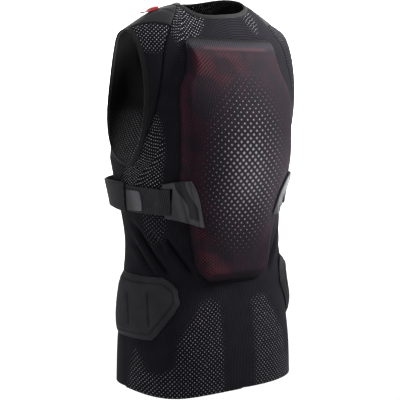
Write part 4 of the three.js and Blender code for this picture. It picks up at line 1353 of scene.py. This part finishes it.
def line_distance(x, z, ax, az, bx, bz):
    along = (x - ax) * (bx - ax) + (z - az) * (bz - az)
    along = np.clip(along / ((bx - ax) ** 2 + (bz - az) ** 2), 0, 1)
    return np.hypot(x - lerp(ax, bx, along), z - lerp(az, bz, along))


def hip_pad(hand, name):
    last = len(HIP_ROWS["z"]) - 1
    row = steps(70, HIP_PAD["tall"], HIP_PAD["lip"]) * last
    z, back, front = (np.interp(row, np.arange(last + 1), HIP_ROWS[key])[:, None] for key in HIP_ROWS)
    turn = lerp(back, front, steps(90, HIP_PAD["wide"], HIP_PAD["lip"])[None])
    x, z = turn * MM_PER_DEGREE, z + 0 * turn
    back_x, front_x = (HIP_ROWS[key] * MM_PER_DEGREE for key in ("backTurn", "frontTurn"))
    outline = [*zip(back_x, HIP_ROWS["z"]), *zip(front_x[::-1], HIP_ROWS["z"][::-1])]
    edge = np.maximum(outline_distance(outline, x, z), 0)
    full = HIP_PAD["thickness" if hand > 0 else "rightThickness"]
    body = lerp(HIP_PAD["edge"], full, smooth(edge, 0, HIP_PAD["bevel"]))
    border = bell((edge - HIP_RELIEF["border"]) / HIP_RELIEF["borderWidth"])
    sunk = HIP_RELIEF["insetShare"] * bell((edge - HIP_RELIEF["inset"]) / HIP_RELIEF["grooveWidth"])
    for ax, az, bx, bz in HIP_GROOVES:
        apart = line_distance(x, z, ax * MM_PER_DEGREE, az, bx * MM_PER_DEGREE, bz)
        sunk = np.maximum(sunk, bell(apart / HIP_RELIEF["grooveWidth"]))
    height = body + HIP_RELIEF["borderRise"] * border - HIP_RELIEF["groove"] * sunk
    height = height * lip_share(edge, HIP_PAD["lip"])
    seat = CLOTH + HIP_PAD["gap"]
    if hand < 0:
        turn, z = turn + HIP_PAD["rightForward"], z + HIP_PAD["rightRaise"]
    outer, inner = girth(hand * turn, z, seat + height), girth(hand * turn, z, seat)
    # the sunk mark paints the grooves darker as shade
    return make_piece(name, outer, inner, coated_foam_face, {"sunk": HIP_RELIEF["shade"] * sunk})


for hand, side in SIDES:
    piece = hip_pad(hand, f"hip_foam_{side}")
    dress(piece, "pad_face", f"hip_pad_{side}")

# %% [markdown]
# ## Front zip
# The zip has a woven tape and two rows of teeth. The tape is a strip of the body form, and the teeth
# are one small block repeated down the middle and joined into a single mesh.

# %% Zip tape
ZIP_LOOK = {"deep": "#151517", "crest": "#2b2b2f", "rib_mm": 1.4}
ZIP_MM = (14, 600)
ZIP_TAPE = 2.0
nylon_tape = elastic_tape("nylon_zip_tape", **ZIP_LOOK)


def zip_place(up, across):
    s = LAST - up * NECK["frontLevel"]
    return s, across_at(s, (2 * across - 1) * ZIP["halfWidth"])


zip_tape, face = cloth_panel("zip_tape", zip_place, 160, 9, ZIP_MM, nylon_tape, thickness=ZIP_TAPE)
dress(zip_tape, "webbing", "front_zip")
declare_sheet(face)

# %% Zip teeth
TOOTH = {"pitch": 2.6, "width": 4.2, "height": 1.3, "length": 1.5, "offset": 0.9, "under": 0.6}
TOOTH |= {"firstLevel": 0.03, "spareLevel": 0.05, "levelMm": 61}


def blocks(name, centres, axes, sizes, material):
    """Many small blocks as one mesh; axes are three unit vectors for each block."""
    signs = np.array([[x, y, z] for x in (-1, 1) for y in (-1, 1) for z in (-1, 1)], float) / 2
    points = centres[:, None] + np.einsum("kc,c,ncd->nkd", signs, np.array(sizes, float), axes)
    quads = [[0, 1, 3, 2], [4, 6, 7, 5], [0, 4, 5, 1], [2, 3, 7, 6], [0, 2, 6, 4], [1, 5, 7, 3]]
    index = (np.array(quads)[None] + 8 * np.arange(len(centres))[:, None, None]).reshape(-1, 4)
    mesh = bpy.data.meshes.new(name)
    mesh.from_pydata((points.reshape(-1, 3) * MM).tolist(), [], index.tolist())
    mesh.materials.append(material)
    mesh.uv_layers.new(name="cloth")
    piece = bpy.data.objects.new(name, mesh)
    bpy.context.scene.collection.objects.link(piece)
    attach(piece, "root")
    return piece


last = NECK["frontLevel"] - TOOTH["spareLevel"]
level = np.arange(TOOTH["firstLevel"], last, TOOTH["pitch"] / TOOTH["levelMm"])
hand = np.where(np.arange(len(level)) % 2, 1, -1)
s = LAST - level
place = across_at(s, hand * TOOTH["offset"])
normal = normal_at(s, place)
along = body_point(s - NORMAL_STEP, place) - body_point(s + NORMAL_STEP, place)
along /= np.linalg.norm(along, axis=-1, keepdims=True)
axes = np.stack([np.cross(along, normal), along, normal], 1)
centres = firm(s, place, ZIP["wall"] - ZIP["sunk"] - TOOTH["under"])
size = TOOTH["width"], TOOTH["length"], TOOTH["height"]
teeth = blocks("zip_teeth", centres, axes, size, thermoplastic_rubber)
print("teeth:", len(level))

# %% [markdown]
# ## Red shoulder tabs
# A short loop of red webbing is sewn on the front of each shoulder and arches up a little.

# %% Shoulder tabs
RED = {"deep": "#8f1a20", "crest": "#e0434a", "rib_mm": 1.8}
red_webbing = elastic_tape("red_polyester_webbing", **RED)
SHOULDER_TAB = {"fromX": 92, "toX": 113, "fromS": 11.1, "toS": 11.34, "rightForward": 0.1}
SHOULDER_TAB |= {"foldWall": 4.6, "endWall": 1.8, "endRise": 5.5, "gap": 0.6}
TAB_FOLD = {"full": 0.25, "over": 0.6}
TAB_SIZE = (22, 14)

for hand, side in SIDES:
    along = steps(30, TAB_SIZE[0], FLAT["lip"])[:, None]
    wide = steps(8, TAB_SIZE[1], FLAT["lip"])[None]
    s = lerp(SHOULDER_TAB["fromS"], SHOULDER_TAB["toS"], wide) + 0 * along
    s = s + (SHOULDER_TAB["rightForward"] if hand < 0 else 0)
    x = lerp(SHOULDER_TAB["fromX"], SHOULDER_TAB["toX"], along) + 0 * wide
    thinned = smooth(along, TAB_FOLD["full"], TAB_FOLD["over"])
    wall = lerp(SHOULDER_TAB["foldWall"], SHOULDER_TAB["endWall"], thinned)
    from_ends, from_sides = (np.minimum(t, 1 - t) * size for t, size in zip((along, wide), TAB_SIZE))
    half = wall / 2 * lip_share(np.minimum(from_ends, from_sides), FLAT["lip"])
    middle = CLOTH + SHOULDER_TAB["gap"] + SHOULDER_TAB["endRise"] * along**2 + wall / 2
    a = hand * across_at(s, x)
    outer, inner = firm(s, a, middle + half), firm(s, a, middle - half)
    piece = make_piece(f"red_tab_{side}", outer, inner, red_webbing)
    dress(piece, "red_web", f"shoulder_tab_{side}")
    declare_sheet(outer)

# %% [markdown]
# ## Stage, light and camera
# The vest hangs over a wide pale floor. A key light stands above the camera, a soft fill on the left, a
# rim light on the right and a narrow one that picks out the right anchor. A strong light hangs over the
# floor far behind, so that it shows white. The camera looks from behind, a little above the middle and
# far away, which keeps the sides nearly parallel.

# %% Camera
VIEW = {"azimuth": 145, "elevation": 9, "distance": 4.0, "midZ": -0.325}
VIEW |= {"width": 0.6667, "left": 0.0042, "clip": 50}
SENSOR = 36.0
a, e = math.radians(VIEW["azimuth"]), math.radians(VIEW["elevation"])
back = Vector((math.sin(a) * math.cos(e), -math.cos(a) * math.cos(e), math.sin(e)))
right = (-back).cross(Vector((0, 0, 1))).normalized()
up = right.cross(-back)
aim = Vector((0, 0, VIEW["midZ"])) - right * VIEW["left"]
lens = bpy.data.cameras.new("camera")
lens.sensor_width = SENSOR
lens.lens = SENSOR * VIEW["distance"] / VIEW["width"]
lens.clip_end = VIEW["clip"]
camera = bpy.data.objects.new("camera", lens)
camera.location = aim + back * VIEW["distance"]
camera.rotation_mode = "QUATERNION"
camera.rotation_quaternion = (-back).to_track_quat("-Z", "Y")
bpy.context.scene.collection.objects.link(camera)
bpy.context.scene.camera = camera
print("lens, mm:", round(lens.lens, 1))

# %% Floor
FLOOR = {"z": -0.80, "reach": 12.0, "colour": "#fafafa", "roughness": 0.9}
corner = FLOOR["reach"]
points = [(-corner, -corner), (corner, -corner), (corner, corner), (-corner, corner)]
mesh = bpy.data.meshes.new("floor")
mesh.from_pydata([(x, y, FLOOR["z"]) for x, y in points], [], [(0, 1, 2, 3)])
floor = bpy.data.objects.new("floor", mesh)
bpy.context.scene.collection.objects.link(floor)
paint = bpy.data.materials.new("matt_white_paint")
paint.use_nodes = True
paint.node_tree.nodes.clear()
surface = {"Base Color": FLOOR["colour"], "Roughness": FLOOR["roughness"]}
surface = add(paint.node_tree, "BsdfPrincipled", surface)
add(paint.node_tree, "OutputMaterial", {"Surface": surface})
mesh.materials.append(paint)
print("floor at", FLOOR["z"], "m")

# %% Lights
WORLD_LIGHT = 0.28
LIGHTS = {
    # place seen from the camera: right, up, towards it; size; power; spread; height it aims at
    "key": (0.0, 1.5, 1.0, 0.8, 1.8, 70, 0.0),
    "fill": (-1.7, 0.8, 1.2, 1.6, 8.6, 180, -0.3),
    "rim": (1.5, 1.1, 0.0, 0.6, 8.4, 50, 0.0),
    "kicker": (1.5, -0.46, -0.26, 0.2, 0.5, 8, -0.3),
    "backdrop": (0.0, 3.0, -6.0, 7.0, 900, 180, None),
}
for name, (to_right, to_up, towards, size, power, spread, aim_z) in LIGHTS.items():
    lamp = bpy.data.lights.new(name, "AREA")
    lamp.shape, lamp.size, lamp.energy, lamp.spread = "DISK", size, power, math.radians(spread)
    place = aim + right * to_right + up * to_up + back * towards
    down = Vector((0, 0, -1)) if aim_z is None else Vector((0, 0, aim_z)) - place
    light = bpy.data.objects.new(name, lamp)
    light.location = place
    light.rotation_mode = "QUATERNION"
    light.rotation_quaternion = down.to_track_quat("-Z", "Y")
    bpy.context.scene.collection.objects.link(light)
world = bpy.data.worlds.new("studio")
world.use_nodes = True
world.node_tree.nodes["Background"].inputs["Color"].default_value = (1, 1, 1, 1)
world.node_tree.nodes["Background"].inputs["Strength"].default_value = WORLD_LIGHT
bpy.context.scene.world = world
bpy.context.scene.view_settings.view_transform = "Standard"
print("lights:", ", ".join(LIGHTS))
